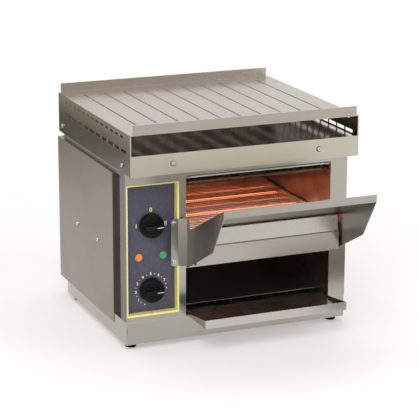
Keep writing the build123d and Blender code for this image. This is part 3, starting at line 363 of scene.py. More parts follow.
@dataclass(frozen=True)
class FloorPaper(Finish):
    """Matt paper that keeps the shadow near the machine and turns white further out.

    Args:
        fade: From where to where it turns white.
        near: The white's share near the machine.
        mirrored: The white's share where metal or glass shows it.
    """

    fade: tuple[float, float] = (0.4, 1.5)
    near: float = 0.35
    mirrored: float = 0.5

    def paint(self, coat: Coat) -> None:
        """Adds the white.

        Args:
            coat: The material in the making.
        """
        coat.give(Specular_IOR_Level=0.1)
        path = coat.put("LightPath").outputs
        away = coat.fill(coat.put("VectorMath", operation="LENGTH"), coat.place).outputs["Value"]
        far = coat.ramp(away, *self.fade, To_Min=self.near, To_Max=1.0)
        bright = coat.reckon("MULTIPLY", path["Is Camera Ray"], far)
        glossy = coat.reckon("MAXIMUM", path["Is Glossy Ray"], path["Is Transmission Ray"])
        share = coat.reckon("MAXIMUM", bright, coat.reckon("MULTIPLY", glossy, self.mirrored))
        coat.show("Material Output", share, coat.shader, coat.put("Emission", Strength=1.0))


@dataclass(frozen=True)
class BrushedSheet(Finish):
    """Stainless sheet with brushed lines, bright worn edges that are also a painted highlight, wipe marks,
    and painted shade on its sideways faces where that is set.

    Args:
        grain: How the lines run.
        lines: How much darker the bundles of lines are.
        shade: The darker tone's share of the colour.
        edge: The colour of worn edges, which is also a painted highlight along them, and wear its amount.
        painted_flank_shade: The share of the colour on faces that look sideways: painted shade that darkens
            them.
        painted_shade_low: Up to this height they have the painted shade in full.
        painted_shade_high: From this height up they don't have it.
    """

    grain: Grain = Grain.ALONG_X
    lines: float = 0.22
    shade: float = 0.78
    # Pale edge colour: worn edges, and a painted highlight along them.
    edge: Colour = (0.86, 0.85, 0.82)
    wear: float = 0.7
    # Painted shade on the sideways faces, and the heights over which it fades out.
    painted_flank_shade: float = 1.0
    painted_shade_low: float = 0.5
    painted_shade_high: float = 0.6
    line_spread: float = 0.12
    smudge_spread: float = 0.06
    line_depth: float = 0.06 * MM

    def paint(self, coat: Coat) -> None:
        """Adds the lines, the marks, the worn edges with their painted highlight, and the painted shade on
        the flanks where it is set.

        Args:
            coat: The material in the making.
        """
        brushed = coat.effect("brushing", Stretch=self.grain.value)
        marks = coat.effect("handling", Size=11.0, Spread=1.0)
        edges = coat.effect("edge_wear_and_highlight", Radius=0.7 * MM, Gain=3.0)
        dark = toned(self.colour, self.shade)
        drift = coat.blend(marks["Drift"], dark, self.colour)
        lined = coat.blend(coat.reckon("MULTIPLY", brushed["Bundles"], self.lines), drift, dark)
        # Painted shade: faces that look sideways take a darker colour, darkest towards the bottom.
        if self.painted_flank_shade < 1.0:
            lined = self.paint_flank_shade(coat, lined)
        # Edges turn to the pale edge colour: partly wear, partly a painted highlight.
        worn = coat.blend(coat.reckon("MULTIPLY", edges["Mask"], self.wear), lined, self.edge)
        grooved = coat.reckon("MULTIPLY_ADD", brushed["Lines"], self.line_spread,
                              self.roughness - self.line_spread / 2)
        dulled = coat.reckon("MULTIPLY", marks["Smudge"], self.smudge_spread)
        coat.give(Base_Color=worn, Roughness=coat.reckon("ADD", grooved, dulled, clamp=True), Metallic=1.0)
        coat.rise(brushed["Lines"], 0.12, self.line_depth)

    def paint_flank_shade(self, coat: Coat, lined: Socket) -> Socket:
        """Paints shade on the faces that look sideways: in full up to one height and fading out by a higher
        one, so darker towards the bottom.

        Args:
            coat: The material in the making.
            lined: The colour so far.

        Returns:
            The colour's new socket.
        """
        normal = coat.put("SeparateXYZ", Vector=coat.put("TexCoord").outputs["Normal"])
        sideways = coat.reckon("GREATER_THAN", coat.reckon("ABSOLUTE", normal.outputs["X"]), 0.7)
        height = coat.put("SeparateXYZ", Vector=coat.place).outputs["Z"]
        fade = coat.ramp(height, self.painted_shade_low, self.painted_shade_high, To_Min=1.0, To_Max=0.0)
        return coat.blend(coat.reckon("MULTIPLY", sideways, fade), lined, toned(self.colour, self.painted_flank_shade))


@dataclass(frozen=True)
class HotSteel(Finish):
    """Steel of the heating chamber, with brown heat tints of an amount."""

    tint: Colour = (0.42, 0.24, 0.13)
    amount: float = 0.6

    def paint(self, coat: Coat) -> None:
        """Adds the tints and the lines.

        Args:
            coat: The material in the making.
        """
        tinted = coat.effect("heat_tint", Metal=self.colour, Straw=self.tint, Amount=self.amount)
        brushed = coat.effect("brushing", Stretch=Grain.ALONG_X.value)
        coat.give(Base_Color=tinted["Colour"], Metallic=1.0)
        coat.roughen(tinted["Mask"], 0.18, self.roughness)
        coat.rise(brushed["Lines"], 0.1, 0.06 * MM)


@dataclass(frozen=True)
class Skin(Finish):
    """A pitted skin with marks of grime, and worn edges and a mottled tone where it has them; on the knobs
    the lighter edges are also a painted highlight.

    Args:
        worn: The colour of worn edges, the grime's where it isn't given.
    """

    pits: float = 0.1
    fineness: float = 1200.0
    depth: float = 0.1 * MM
    grime: Colour | None = (0.25, 0.23, 0.20)
    dirt: float = 0.3
    mark_size: float = 60.0
    dulling: float = 0.3
    worn: Colour | None = None
    wear: float = 0.0
    edge_r: float = 0.6 * MM
    edge_gain: float = 2.5
    mottle: float = 0.0
    gloss: float = 0.0
    specular: float = 0.5
    metallic: float = 0.0

    def paint(self, coat: Coat) -> None:
        """Adds the pits, the marks, the wear and the mottle.

        Args:
            coat: The material in the making.
        """
        skin = coat.effect("speckle", Fineness=self.fineness)
        marks = coat.effect("handling", Size=self.mark_size, Spread=self.dirt)
        tone = self.colour
        if self.mottle:
            lighter = toned(tone, 1 + self.mottle, 0.02 * self.mottle)
            tone = coat.blend(skin["Dots"], toned(tone, 1 - self.mottle), lighter)
        if self.grime:
            tone = coat.blend(marks["Smudge"], tone, self.grime)
        # Edges turn to the worn or grime colour; on the black knobs this lighter rim is partly dust, partly a
        # painted highlight.
        if self.wear:
            edges = coat.effect("edge_wear_and_highlight", Radius=self.edge_r, Gain=self.edge_gain)
            share = coat.reckon("MULTIPLY", edges["Mask"], self.wear)
            tone = coat.blend(share, tone, self.worn or self.grime)
        coat.give(Base_Color=tone, Metallic=self.metallic, Specular_IOR_Level=self.specular,
                  Coat_Weight=self.gloss, Coat_Roughness=0.2)
        coat.roughen(marks["Smudge"], self.dulling, self.roughness)
        coat.rise(skin["Height"], self.pits, self.depth)


@dataclass(frozen=True)
class PlatedMetal(Skin):
    """Plated or cast metal of screws, shafts and machine parts."""

    metallic: float = 1.0


@dataclass(frozen=True)
class Lacquer(Skin):
    """Painted sheet: orange peel, a mottled tone and glossy top coat, and edges worn to a paler tone."""

    pits: float = 0.25
    fineness: float = 500.0
    depth: float = 0.2 * MM
    grime: Colour | None = None
    dirt: float = 1.0
    mark_size: float = 14.0
    dulling: float = 0.15
    wear: float = 0.6
    edge_r: float = 0.5 * MM
    edge_gain: float = 2.0
    mottle: float = 0.2
    gloss: float = 0.15


@dataclass(frozen=True)
class Moulding(Skin):
    """Moulded plastic, rubber or fired ceramic, with dust in its marks and on its edges."""

    pits: float = 0.15
    fineness: float = 1500.0
    grime: Colour | None = (0.35, 0.34, 0.32)
    dirt: float = 0.15
    mark_size: float = 45.0
    dulling: float = 0.5
    wear: float = 0.25


@dataclass(frozen=True)
class LampLens(Finish):
    """Clear coloured plastic over a small lamp, with a brighter core."""

    glow: float = 0.2
    core: Colour = (1.0, 0.7, 0.4)

    def paint(self, coat: Coat) -> None:
        """Adds the ribs, the glow and the gloss.

        Args:
            coat: The material in the making.
        """
        ribs = coat.effect("speckle", Fineness=420.0)
        ribbed = coat.blend(ribs["Dots"], self.core, self.colour)
        coat.give(Base_Color=ribbed, Emission_Color=ribbed, Emission_Strength=self.glow, Coat_Weight=0.25,
                  Coat_Roughness=0.05)
        coat.rise(ribs["Dots"], 0.3, 0.4 * MM)


@dataclass(frozen=True)
class HotWire(Finish):
    """Resistance wire at red heat, from a cooler to a hotter colour."""

    glow: float = 10.0
    hot: Colour = (1.0, 0.42, 0.20)
    cool: Colour = (0.9, 0.20, 0.08)

    def paint(self, coat: Coat) -> None:
        """Adds the glow."""
        drift = coat.effect("handling", Size=20.0, Spread=1.0)["Drift"]
        coat.give(Emission_Color=coat.blend(drift, self.cool, self.hot), Emission_Strength=self.glow)


@dataclass(frozen=True)
class QuartzGlass(Finish):
    """Clear quartz with faint draw lines and a warm cast."""

    def paint(self, coat: Coat) -> None:
        """Adds the draw lines and makes it clear."""
        coat.roughen(coat.effect("brushing", Stretch=Grain.ALONG_X.value)["Bundles"], 0.06, self.roughness)
        coat.give(Transmission_Weight=1.0, IOR=1.46)


@dataclass(frozen=True)
class DialInk(Finish):
    """Printed numerals and marks on a control panel."""

    def paint(self, coat: Coat) -> None:
        """Adds the print's unevenness."""
        skin = coat.effect("speckle", Fineness=2500.0)["Height"]
        coat.give(Base_Color=coat.blend(skin, self.colour, toned(self.colour, 1.1)))


FINISHES: tuple[Finish, ...] = (
    BrushedSheet("cover_steel", (0.40, 0.35, 0.32), 0.42, "left_side_panel right_side_panel rear_cover",
                 grain=Grain.ALONG_Y),
    BrushedSheet("front_steel", (0.51, 0.48, 0.43), 0.21, "front_shield base_pan"),
    # Painted shade: the fascia's sideways faces are darker.
    BrushedSheet("fascia_steel_painted_shade", (0.51, 0.48, 0.43), 0.21, "front_fascia", painted_flank_shade=0.26),
    BrushedSheet("feed_steel", (0.50, 0.475, 0.43), 0.29, "feed_tray"),
    # Painted shade: the rack's sideways faces are darker towards the bottom.
    BrushedSheet("rack_steel_painted_shade", (0.61, 0.575, 0.485), 0.22, "rack_frame", painted_flank_shade=0.23, painted_shade_low=0.365,
                 painted_shade_high=0.415),
    BrushedSheet("deck_steel", (0.52, 0.46, 0.41), 0.24, "rack_deck", lines=0.15),
    BrushedSheet("shelf_steel", (0.60, 0.54, 0.48), 0.13, "lower_deck", lines=0.15),
    BrushedSheet("tray_steel", (0.62, 0.60, 0.57), 0.25, "collection_tray"),
    BrushedSheet("chute_steel", (0.30, 0.29, 0.28), 0.32, "return_chute"),
    BrushedSheet("inner_sheet", (0.50, 0.50, 0.49), 0.40, "roof_pan panel_stays motor_bracket tray_runners",
                 lines=0.1),
    HotSteel("hot_wall", (0.55, 0.50, 0.46), 0.30,
             "left_chamber_wall right_chamber_wall left_belt_rail right_belt_rail"),
    HotSteel("hot_reflector", (0.44, 0.34, 0.30), 0.24, "upper_reflector lower_reflector", amount=0.4),
    HotSteel("belt_wire", (0.52, 0.46, 0.40), 0.34, "wire_belt", amount=0.5),
    PlatedMetal("plated_steel", (0.72, 0.71, 0.69), 0.22,
                "band_screws rack_screws side_screws rear_screws tray_screws foot_screws ear_spacers"),
    # Near-white and barely metallic so the rod reads bright: a painted reflection of the bright things in
    # front of it.
    PlatedMetal("rod_steel_painted_bright", (0.98, 0.95, 0.88), 0.35, "guard_rod", pits=0.05, dirt=0.05, metallic=0.15),
    PlatedMetal("shaft_steel", (0.55, 0.54, 0.52), 0.28,
                "front_shaft rear_shaft motor_shaft selector_spindle speed_spindle", dirt=0.6),
    PlatedMetal("chain_steel", (0.20, 0.19, 0.18), 0.36,
                "drive_chain drive_sprocket motor_sprocket front_belt_sprockets rear_belt_sprockets",
                dirt=0.8, grime=(0.05, 0.04, 0.03)),
    PlatedMetal("bush_bronze", (0.55, 0.37, 0.18), 0.35, "shaft_bushes", dirt=0.5),
    PlatedMetal("cast_case", (0.42, 0.43, 0.44), 0.5, "gear_motor", pits=0.5, fineness=700.0),
    Lacquer("panel_blue", (0.066, 0.066, 0.106), 0.42, "control_panel", worn=(0.16, 0.16, 0.2), mottle=0.35),
    Lacquer("bezel_gold", (0.94, 0.84, 0.30), 0.25, "control_bezel", worn=(1.0, 0.97, 0.66), mottle=0.08,
            gloss=0.5),
    # The knobs' rubbed edges lighten to the grey grime colour: partly dust, partly a painted highlight along
    # the grip.
    Moulding("knob_black", (0.006, 0.006, 0.007), 0.30, "selector_knob speed_knob", grime=(0.30, 0.30, 0.30),
             dirt=0.02, specular=0.10, wear=0.6),
    Moulding("body_black", (0.03, 0.03, 0.03), 0.5,
             "selector_switch speed_regulator terminal_block cord_gland"),
    Moulding("lamp_grey", (0.34, 0.32, 0.30), 0.35, "lamp_bodies"),
    Moulding("holder_ceramic", (0.78, 0.74, 0.66), 0.65, "tube_holders", pits=0.4, fineness=600.0),
    Moulding("foot_rubber", (0.005, 0.005, 0.005), 0.75, "rubber_feet", pits=0.5, dirt=0.03, specular=0.1,
             wear=0.05),
    LampLens("lens_orange", (0.75, 0.14, 0.02), 0.2, "heat_lamp_lens", core=(0.92, 0.28, 0.08)),
    LampLens("lens_green", (0.02, 0.24, 0.09), 0.2, "ready_lamp_lens", glow=0.16, core=(0.10, 0.44, 0.20)),
    HotWire("hot_wire", (0.3, 0.1, 0.05), 0.6),
    QuartzGlass("quartz", (1.0, 0.86, 0.78), 0.04, "upper_tubes lower_tubes"),
    DialInk("dial_ink", (0.90, 0.84, 0.46), 0.5),
    # Pale pointer line on the knobs: a pointer mark, and also a painted highlight along the grip's top.
    DialInk("pointer_ink_and_highlight", (0.80, 0.80, 0.78), 0.4),
)


@dataclass
class FinishBook:
    """The machine's materials by name."""

    made: dict[str, bpy.types.Material] = field(default_factory=dict)

    def build(self) -> None:
        """Makes every material and dresses the carried-over nodes."""
        effects = EffectKit()
        effects.build()
        for finish in FINISHES:
            self.made[finish.name] = finish.make(effects)
            for node in finish.nodes.split():
                self.dress(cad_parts[node], finish.name)
                log.info("%s wears %s", node, finish.name)

    def dress(self, piece: Piece, finish: str) -> None:
        """Gives a piece its finish."""
        piece.data.materials.clear()
        piece.data.materials.append(self.made[finish])


# ------------------------------------------------------------------ modelling bench
class Bench:
    """The modelling steps that the sub-assemblies share."""

    @staticmethod
    def clear() -> None:
        """Leaves edit mode and deselects everything."""
        if bpy.context.mode != "OBJECT":
            bpy.ops.object.mode_set(mode="OBJECT")
        bpy.ops.object.select_all(action="DESELECT")

    @classmethod
    def only(cls, *pieces: Piece) -> None:
        """Selects some pieces alone and makes the first one active.

        Args:
            pieces: The pieces.
        """
        cls.clear()
        for piece in pieces:
            piece.select_set(True)
        bpy.context.view_layer.objects.active = pieces[0]

    @classmethod
    def settle(cls, piece: Piece) -> Piece:
        """Puts a piece's place, turn and size into its mesh.

        Args:
            piece: The piece.

        Returns:
            The same piece.
        """
        cls.only(piece)
        bpy.ops.object.transform_apply(location=True, rotation=True, scale=True)
        return piece

    @classmethod
    def add(cls, name: str, shape: Callable[..., object], **settings: object) -> Piece:
        """Adds a basic shape, with its place in its mesh.

        Args:
            name: The piece's name.
            shape: The operator that adds it.
            settings: The operator's settings.

        Returns:
            The new object.
        """
        cls.clear()
        shape(**settings)
        return cls.settle(equip(bpy.context.active_object, name=name))

    @classmethod
    def cylinder(cls, name: str, radius: float, height: float, sides: int = 48, base: float = 0.0) -> Piece:
        """A cylinder along +Z with so many sides, whose lower face is at base."""
        return cls.add(name, bpy.ops.mesh.primitive_cylinder_add, vertices=sides, radius=radius,
                       depth=height, location=(0, 0, base + height / 2))

    @classmethod
    def block(cls, name: str, size: Iterable[float], middle: Iterable[float]) -> Piece:
        """A block of a size about its middle."""
        return cls.add(name, bpy.ops.mesh.primitive_cube_add, size=1.0, scale=size, location=middle)

    @classmethod
    @contextmanager
    def edit(cls, piece: Piece, wanted: Ends | Callable[[Vector, Vector], bool] | None = None
             ) -> Iterator[None]:
        """Edit mode with a piece's flat ends or some of its edges selected, or all of it.

        Args:
            piece: The object.
            wanted: The ends, or what says of an edge's two ends whether it is picked.
        """
        cls.only(piece)
        bpy.ops.object.mode_set(mode="EDIT")
        bpy.ops.mesh.select_mode(type="FACE" if isinstance(wanted, Ends) else "EDGE")
        bpy.ops.mesh.select_all(action="DESELECT" if wanted else "SELECT")
        mesh = bmesh.from_edit_mesh(piece.data)
        if isinstance(wanted, Ends):
            for face in mesh.faces:
                face.select = any(sign * face.normal.z > FACING for sign in wanted.value)
            mesh.select_flush_mode()
        elif wanted:
            for edge in mesh.edges:
                edge.select = wanted(edge.verts[0].co, edge.verts[1].co)
        bmesh.update_edit_mesh(piece.data)
        yield
        bpy.ops.object.mode_set(mode="OBJECT")

    @staticmethod
    def taper(share: float, across: float | None = None) -> None:
        """Scales the selection on X and Y, or by another share on Y."""
        bpy.ops.transform.resize(value=(share, share if across is None else across, 1.0))

    @staticmethod
    def push(rise: float, back: float = 0.0) -> None:
        """Extrudes the selected faces along Z and moves them back."""
        bpy.ops.mesh.extrude_region_move(TRANSFORM_OT_translate={"value": (0, back, rise)})

    @staticmethod
    def attach(piece: Piece, kind: str, **settings: object) -> bpy.types.Modifier:
        """Adds a modifier with its settings by name, and returns it."""
        return equip(piece.modifiers.new(kind.lower(), kind), **settings)

    @classmethod
    def modify(cls, piece: Piece, kind: str, **settings: object) -> None:
        """Changes a piece by an applied modifier."""
        cls.only(piece)
        bpy.ops.object.modifier_apply(modifier=cls.attach(piece, kind, **settings).name)

    @classmethod
    def round_edges(cls, piece: Piece, width: float, segments: int = 3, angle: float = 40.0) -> None:
        """Rounds a piece's edges that are sharper than an angle."""
        cls.modify(piece, "BEVEL", width=width, segments=segments, limit_method="ANGLE",
                   angle_limit=math.radians(angle), use_clamp_overlap=True)

    @classmethod
    def cut(cls, piece: Piece, tool: Piece) -> None:
        """Cuts a tool's shape out of a piece and removes the tool."""
        cls.modify(piece, "BOOLEAN", operation="DIFFERENCE", solver="EXACT", object=tool)
        bpy.data.objects.remove(tool, do_unlink=True)

    @classmethod
    def move(cls, piece: Piece, matrix: Matrix) -> Piece:
        """Takes a piece to its place, with the place in its mesh."""
        piece.matrix_world = matrix @ piece.matrix_world
        return cls.settle(piece)

    @classmethod
    def join(cls, name: str, parts: list[Piece]) -> Piece:
        """Joins parts under a name.

        Args:
            name: The joined piece's name.
            parts: The parts.

        Returns:
            The joined object.
        """
        cls.only(*parts)
        if len(parts) > 1:
            bpy.ops.object.join()
        parts[0].name = name
        return parts[0]

    @classmethod
    def copies(cls, piece: Piece, places: Iterable[Matrix]) -> Piece:
        """Copies a piece to several places, each with its own mesh, and joins the copies under its name.

        Args:
            piece: The piece, built at the origin along +Z.
            places: A matrix for each copy.

        Returns:
            The joined object.
        """
        name = piece.name
        piece.name = name + "_pattern"
        made = []
        for place in places:
            twin = piece.copy()
            twin.data = piece.data.copy()
            bpy.context.scene.collection.objects.link(twin)
            made.append(cls.move(twin, place))
        bpy.data.objects.remove(piece, do_unlink=True)
        return cls.join(name, made)

    @classmethod
    def smooth(cls, piece: Piece, angle: float = 35.0) -> Piece:
        """Smooths the faces that meet under an angle.

        Args:
            piece: The piece.
            angle: The angle in degrees.

        Returns:
            The same piece.
        """
        cls.only(piece)
        bpy.ops.object.shade_smooth_by_angle(angle=math.radians(angle))
        return piece


@dataclass
class Machine:
    """What every sub-assembly needs: the finishes, and a way to hand a piece over.

    Args:
        book: The finishes.
    """

    book: FinishBook

    def hand_over(self, piece: Piece, slot: str, finish: str, *nodes: str, body: str = "housing") -> None:
        """Dresses a new piece, puts it on its body and lets it stand for nodes.

        Args:
            piece: The finished object, at the origin with its place in its mesh.
            slot: The record's material slot; not used.
            finish: The finish's name.
            nodes: The nodes that it stands for.
            body: The body that it rides on.
        """
        self.book.dress(piece, finish)
        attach(piece, body)
        if nodes:
            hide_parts(*nodes)
        log.info("%s rides on %s", piece.name, body)


# ------------------------------------------------------------------ screws
@dataclass
class PanHeads(Machine):
    """Pan-head screws with a cross recess, one joined piece for each node; some sit on dark washers that also
    stand as a painted shadow ring round the heads.
    """

    head_r: float = 4.0 * MM
    head: float = 2.6 * MM
    crown_inset: float = 0.9 * MM
    crown: float = 1.7 * MM
    shank_r: float = 1.9 * MM
    shank: float = 3.0 * MM
    recess: tuple[float, float] = (4.6 * MM, 1.2 * MM)
    recess_depth: float = 1.8 * MM
    recess_taper: float = 0.55
    washer_r: float = 5.2 * MM
    washer: float = 0.5 * MM

    def build(self) -> None:
        """Makes the screws of every node that shows their heads."""
        self.row("band_screws", Axis.FRONT, shadow_washers=True)
        self.row("rear_screws", Axis.BACK)
        self.row("tray_screws", Axis.FRONT)
        self.row("rack_screws", Axis.LEFT, Axis.RIGHT, shadow_washers=True)
        self.row("side_screws", Axis.LEFT, Axis.RIGHT)

    def pattern(self, name: str) -> Piece:
        """One screw at the origin: its head stands on Z = 0 and its shank goes down.

        Args:
            name: The piece's name.

        Returns:
            The screw.
        """
        screw = Bench.cylinder(name, self.head_r, self.head, sides=32)
        with Bench.edit(screw, Ends.TOP):
            bpy.ops.mesh.inset(thickness=self.crown_inset)
        with Bench.edit(screw, self.on_rim):
            bpy.ops.mesh.bevel(offset=self.crown, segments=5, profile=0.5, affect="EDGES", clamp_overlap=True)
        for across in (self.recess, self.recess[::-1]):
            slot = Bench.block("recess", (*across, 2 * self.recess_depth), (0, 0, self.head))
            with Bench.edit(slot, Ends.BOTTOM):
                Bench.taper(self.recess_taper)
            Bench.cut(screw, slot)
        stem = Bench.cylinder("stem", self.shank_r, self.shank, sides=20, base=-self.shank)
        return Bench.join(name, [screw, stem])

    def on_rim(self, *ends: Vector) -> bool:
        """Whether an edge runs round the top of the head."""
        return all(end.z > self.head - TINY and end.xy.length > self.head_r - TINY for end in ends)

    def row(self, node: str, *axes: Axis, shadow_washers: bool = False) -> None:
        """Makes one node's screws at the corners of its box.

        Args:
            node: The node.
            axes: The axis that the screws face, or the left and the right sides' axes.
            shadow_washers: Whether they have dark washers, which also stand as a painted shadow ring round
                the heads.
        """
        low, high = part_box(node)
        deep = 1 if axes[0].value[0] == 0 else 0
        wide = 1 - deep
        rises = (low.z + self.head_r, high.z - self.head_r)
        if high.z - low.z < 3 * self.head_r:
            rises = ((low.z + high.z) / 2,)
        places = []
        for across in (low[wide] + self.head_r, high[wide] - self.head_r):
            for rise in rises:
                for axis in axes:
                    spot = Vector((across, across, rise))
                    spot[deep] = low[deep] + self.head if axis.value[deep] < 0 else high[deep] - self.head
                    places.append(axis.at(spot))
        # Dark washers under the heads: real washers, dark also to stand as a painted shadow ring round each
        # head.
        if shadow_washers:
            ring = Bench.cylinder(node + "_washers", self.washer_r, self.washer, sides=32)
            Bench.round_edges(ring, 0.12 * MM, 2)
            self.hand_over(Bench.copies(ring, places), "black_body", "body_black")
        heads = Bench.copies(self.pattern(node + "_heads"), places)
        self.hand_over(Bench.smooth(heads, 30.0), "plated_steel", "plated_steel", node)


# ------------------------------------------------------------------ controls
@dataclass
class Controls(Machine):
    """Knobs, dials and pilot lamps of the control window."""

    skirt_lap: float = 2.7 * MM
    skirt_taper: float = 0.94
    rim: float = 1.8 * MM
    dish: float = 1.4 * MM
    dish_taper: float = 0.97
    grip_length: float = 37.0 * MM
    grip_width: float = 9.5 * MM
    grip_sunk: float = 1.2 * MM
    grip_corner: float = 3.0 * MM
    grip_taper: tuple[float, float] = (0.90, 0.62)
    pointer: tuple[float, float, float] = (12.0 * MM, 1.1 * MM, 0.3 * MM)
    pointer_out: float = 9.5 * MM
    pointer_sunk: float = 0.09 * MM
    ink: float = 0.12 * MM
    stroke: float = 0.28 * MM
    capital: float = 0.7
    numeral: float = 7.6 * MM
    step_numeral: float = 5.2 * MM
    ring: float = 30.0 * MM
    inner_ring: float = 28.3 * MM
    dot_r: float = 0.9 * MM
    end_dot_r: float = 1.3 * MM
    steps: int = 16
    sweep: float = 245.0
    lens_lap: float = 1.5 * MM
    lens_rim: float = 0.4
    lens_rings: int = 4

    def build(self) -> None:
        """Makes the two knobs, their dials and the lamps."""
        for name, body in (("selector", "selector"), ("speed", "speed_control")):
            self.build_knob(name, body)
        self.build_selector_dial()
        self.build_speed_dial()
        for name, colour in (("heat", "orange"), ("ready", "green")):
            self.build_lens(name, colour)

    def build_knob(self, name: str, body: str) -> None:
        """A round knob with a tapered skirt, a dished face and a raised grip with a pale pointer line, which
        also stands as a painted highlight along the grip's top.

        Args:
            name: The knob's name.
            body: The body that it turns with.
        """
        node = f"{name}_knob"
        low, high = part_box(node)
        height = high.y - low.y
        skirt = height / 2
        knob = Bench.cylinder(f"{name}_knob_body", (high.x - low.x) / 2 + self.skirt_lap, skirt, sides=96)
        with Bench.edit(knob, Ends.TOP):
            Bench.taper(self.skirt_taper)
            bpy.ops.mesh.inset(thickness=self.rim)
            Bench.push(-self.dish)
            Bench.taper(self.dish_taper)
        Bench.round_edges(knob, 0.7 * MM, 3, 30.0)
        size = (self.grip_length, self.grip_width, height - skirt + self.grip_sunk)
        bar = Bench.block("grip", size, (0, 0, (skirt + height - self.grip_sunk) / 2))
        with Bench.edit(bar, Ends.TOP):
            Bench.taper(*self.grip_taper)
        with Bench.edit(bar, lambda a, b: abs(a.z - b.z) > 5 * MM):
            bpy.ops.mesh.bevel(offset=self.grip_corner, segments=5, affect="EDGES")
        Bench.round_edges(bar, 0.8 * MM, 3)
        knob = Bench.join(knob.name, [knob, bar])
        middle = ((low.x + high.x) / 2, high.y, (low.z + high.z) / 2)
        turn = Matrix.Translation(Vector(middle)) @ Matrix.Rotation(math.pi / 2, 4, "X")
        Bench.smooth(Bench.move(knob, turn))
        self.hand_over(knob, "black_knob", "knob_black", node, body=body)
        # Pale pointer line on the grip's top: a pointer mark, and also a painted highlight along the grip.
        line = Bench.block(f"{name}_pointer", self.pointer, (self.pointer_out, 0, height - self.pointer_sunk))
        Bench.round_edges(line, 0.1 * MM, 2)
        self.hand_over(Bench.move(line, turn), "lamp_ring", "pointer_ink_and_highlight", body=body)

    def dial_spot(self, name: str, angle: float, radius: float, sunk: float) -> Vector:
        """A point by a knob's dial.

        Args:
            name: The knob's name.
            angle: The point's angle from +X in degrees.
            radius: Its distance from the knob's axis.
            sunk: Its depth behind the panel's face.

        Returns:
            The point.
        """
        low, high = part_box(f"{name}_knob")
        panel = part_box("control_panel")[0]
        turn = math.radians(angle)
        return Vector(((low.x + high.x) / 2 + radius * math.cos(turn), panel.y + sunk,
                       (low.z + high.z) / 2 + radius * math.sin(turn)))

    def numeral_at(self, text: str, name: str, angle: float, radius: float, size: float) -> Piece:
        """A numeral on the panel, as a thin mesh.

        Args:
            text: The numeral.
            name: The knob that it belongs to.
            angle: Its angle from +X in degrees.
            radius: Its distance from the knob's axis.
            size: Its height.

        Returns:
            The object.
        """
        Bench.clear()
        bpy.ops.object.text_add()
        equip(bpy.context.active_object.data, body=text, size=size / self.capital, align_x="CENTER",
              align_y="CENTER", extrude=self.ink / 2, offset=self.stroke, resolution_u=3)
        bpy.ops.object.convert(target="MESH")
        made = bpy.context.active_object
        with Bench.edit(made):
            bpy.ops.mesh.remove_doubles(threshold=TINY)
            bpy.ops.mesh.normals_make_consistent(inside=False)
        spot = self.dial_spot(name, angle, radius, -self.ink / 3)
        return Bench.move(made, Matrix.Translation(spot) @ Matrix.Rotation(math.pi / 2, 4, "X"))

    def dot_at(self, angle: float, radius: float) -> Piece:
        """A dot of a radius on the speed knob's dial, at an angle from +X in degrees."""
        dot = Bench.cylinder("dot", radius, self.ink, sides=16)
        return Bench.move(dot, Axis.FRONT.at(self.dial_spot("speed", angle, self.ring, self.ink / 6)))

    def build_selector_dial(self) -> None:
        """The three positions of the selector: 0 at the top, I on the left and II on the right."""
        marks = [self.numeral_at(text, "selector", angle, self.inner_ring, self.numeral)
                 for text, angle in (("0", 90), ("I", 180), ("II", 0))]
        self.hand_over(Bench.join("selector_dial", marks), "lamp_ring", "dial_ink")

    def build_speed_dial(self) -> None:
        """The speed scale: numerals with dots between them, from low on the left round to the right."""
        marks = []
        for k in range(self.steps + 1):
            angle = self.sweep - k * self.sweep / self.steps
            inside = 0 < k < self.steps
            if inside and k % 2 == 0:
                marks.append(self.numeral_at(str(k // 2), "speed", angle, self.ring, self.step_numeral))
            else:
                marks.append(self.dot_at(angle, self.dot_r if inside else self.end_dot_r))
        self.hand_over(Bench.join("speed_dial", marks), "lamp_ring", "dial_ink")

    def build_lens(self, name: str, colour: str) -> None:
        """A domed lens with a straight rim.

        Args:
            name: The lamp's name.
            colour: The lens's colour.
        """
        node = f"{name}_lamp_lens"
        low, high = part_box(node)
        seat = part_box("lamp_bodies")[0].y
        height = seat - low.y
        radius = (high.x - low.x) / 2 + self.lens_lap
        lens = Bench.cylinder(f"{name}_lens_dome", radius, height * self.lens_rim)
        step = math.pi / (2 * self.lens_rings + 2)
        with Bench.edit(lens, Ends.TOP):
            for k in range(self.lens_rings):
                Bench.push(height * (1 - self.lens_rim) * (math.sin((k + 1) * step) - math.sin(k * step)))
                Bench.taper(math.cos((k + 1) * step) / math.cos(k * step))
        Bench.move(lens, Axis.FRONT.at(((low.x + high.x) / 2, seat, (low.z + high.z) / 2)))
        self.hand_over(Bench.smooth(lens, 50.0), f"{colour}_lens", f"lens_{colour}", node)


# ------------------------------------------------------------------ trim of the control window
@dataclass
class WindowTrim(Machine):
    """The thin gold flange that frames the control window on the fascia's front."""

    left: float = 1.4 * MM
    right: float = 2.6 * MM
    below: float = 2.8 * MM
    above: float = 1.2 * MM
    cover: float = 1.1 * MM
    proud: float = 0.5 * MM
    seat: float = 0.3 * MM

    def build(self) -> None:
        """Makes the flange as one plate with the window cut out."""
        low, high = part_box("control_bezel")
        corner = Vector((low.x - self.left, low.y - self.proud, low.z - self.below))
        far = Vector((high.x + self.right, low.y + self.seat, high.z + self.above))
        plate = Bench.block("window_trim", far - corner, (corner + far) / 2)
        window = (high.x - low.x - 2 * self.cover, 4 * self.cover, high.z - low.z - 2 * self.cover)
        Bench.cut(plate, Bench.block("window", window, ((low.x + high.x) / 2, low.y, (low.z + high.z) / 2)))
        Bench.round_edges(plate, 0.2 * MM, 2, 60.0)
        self.hand_over(plate, "gold_bezel", "bezel_gold")


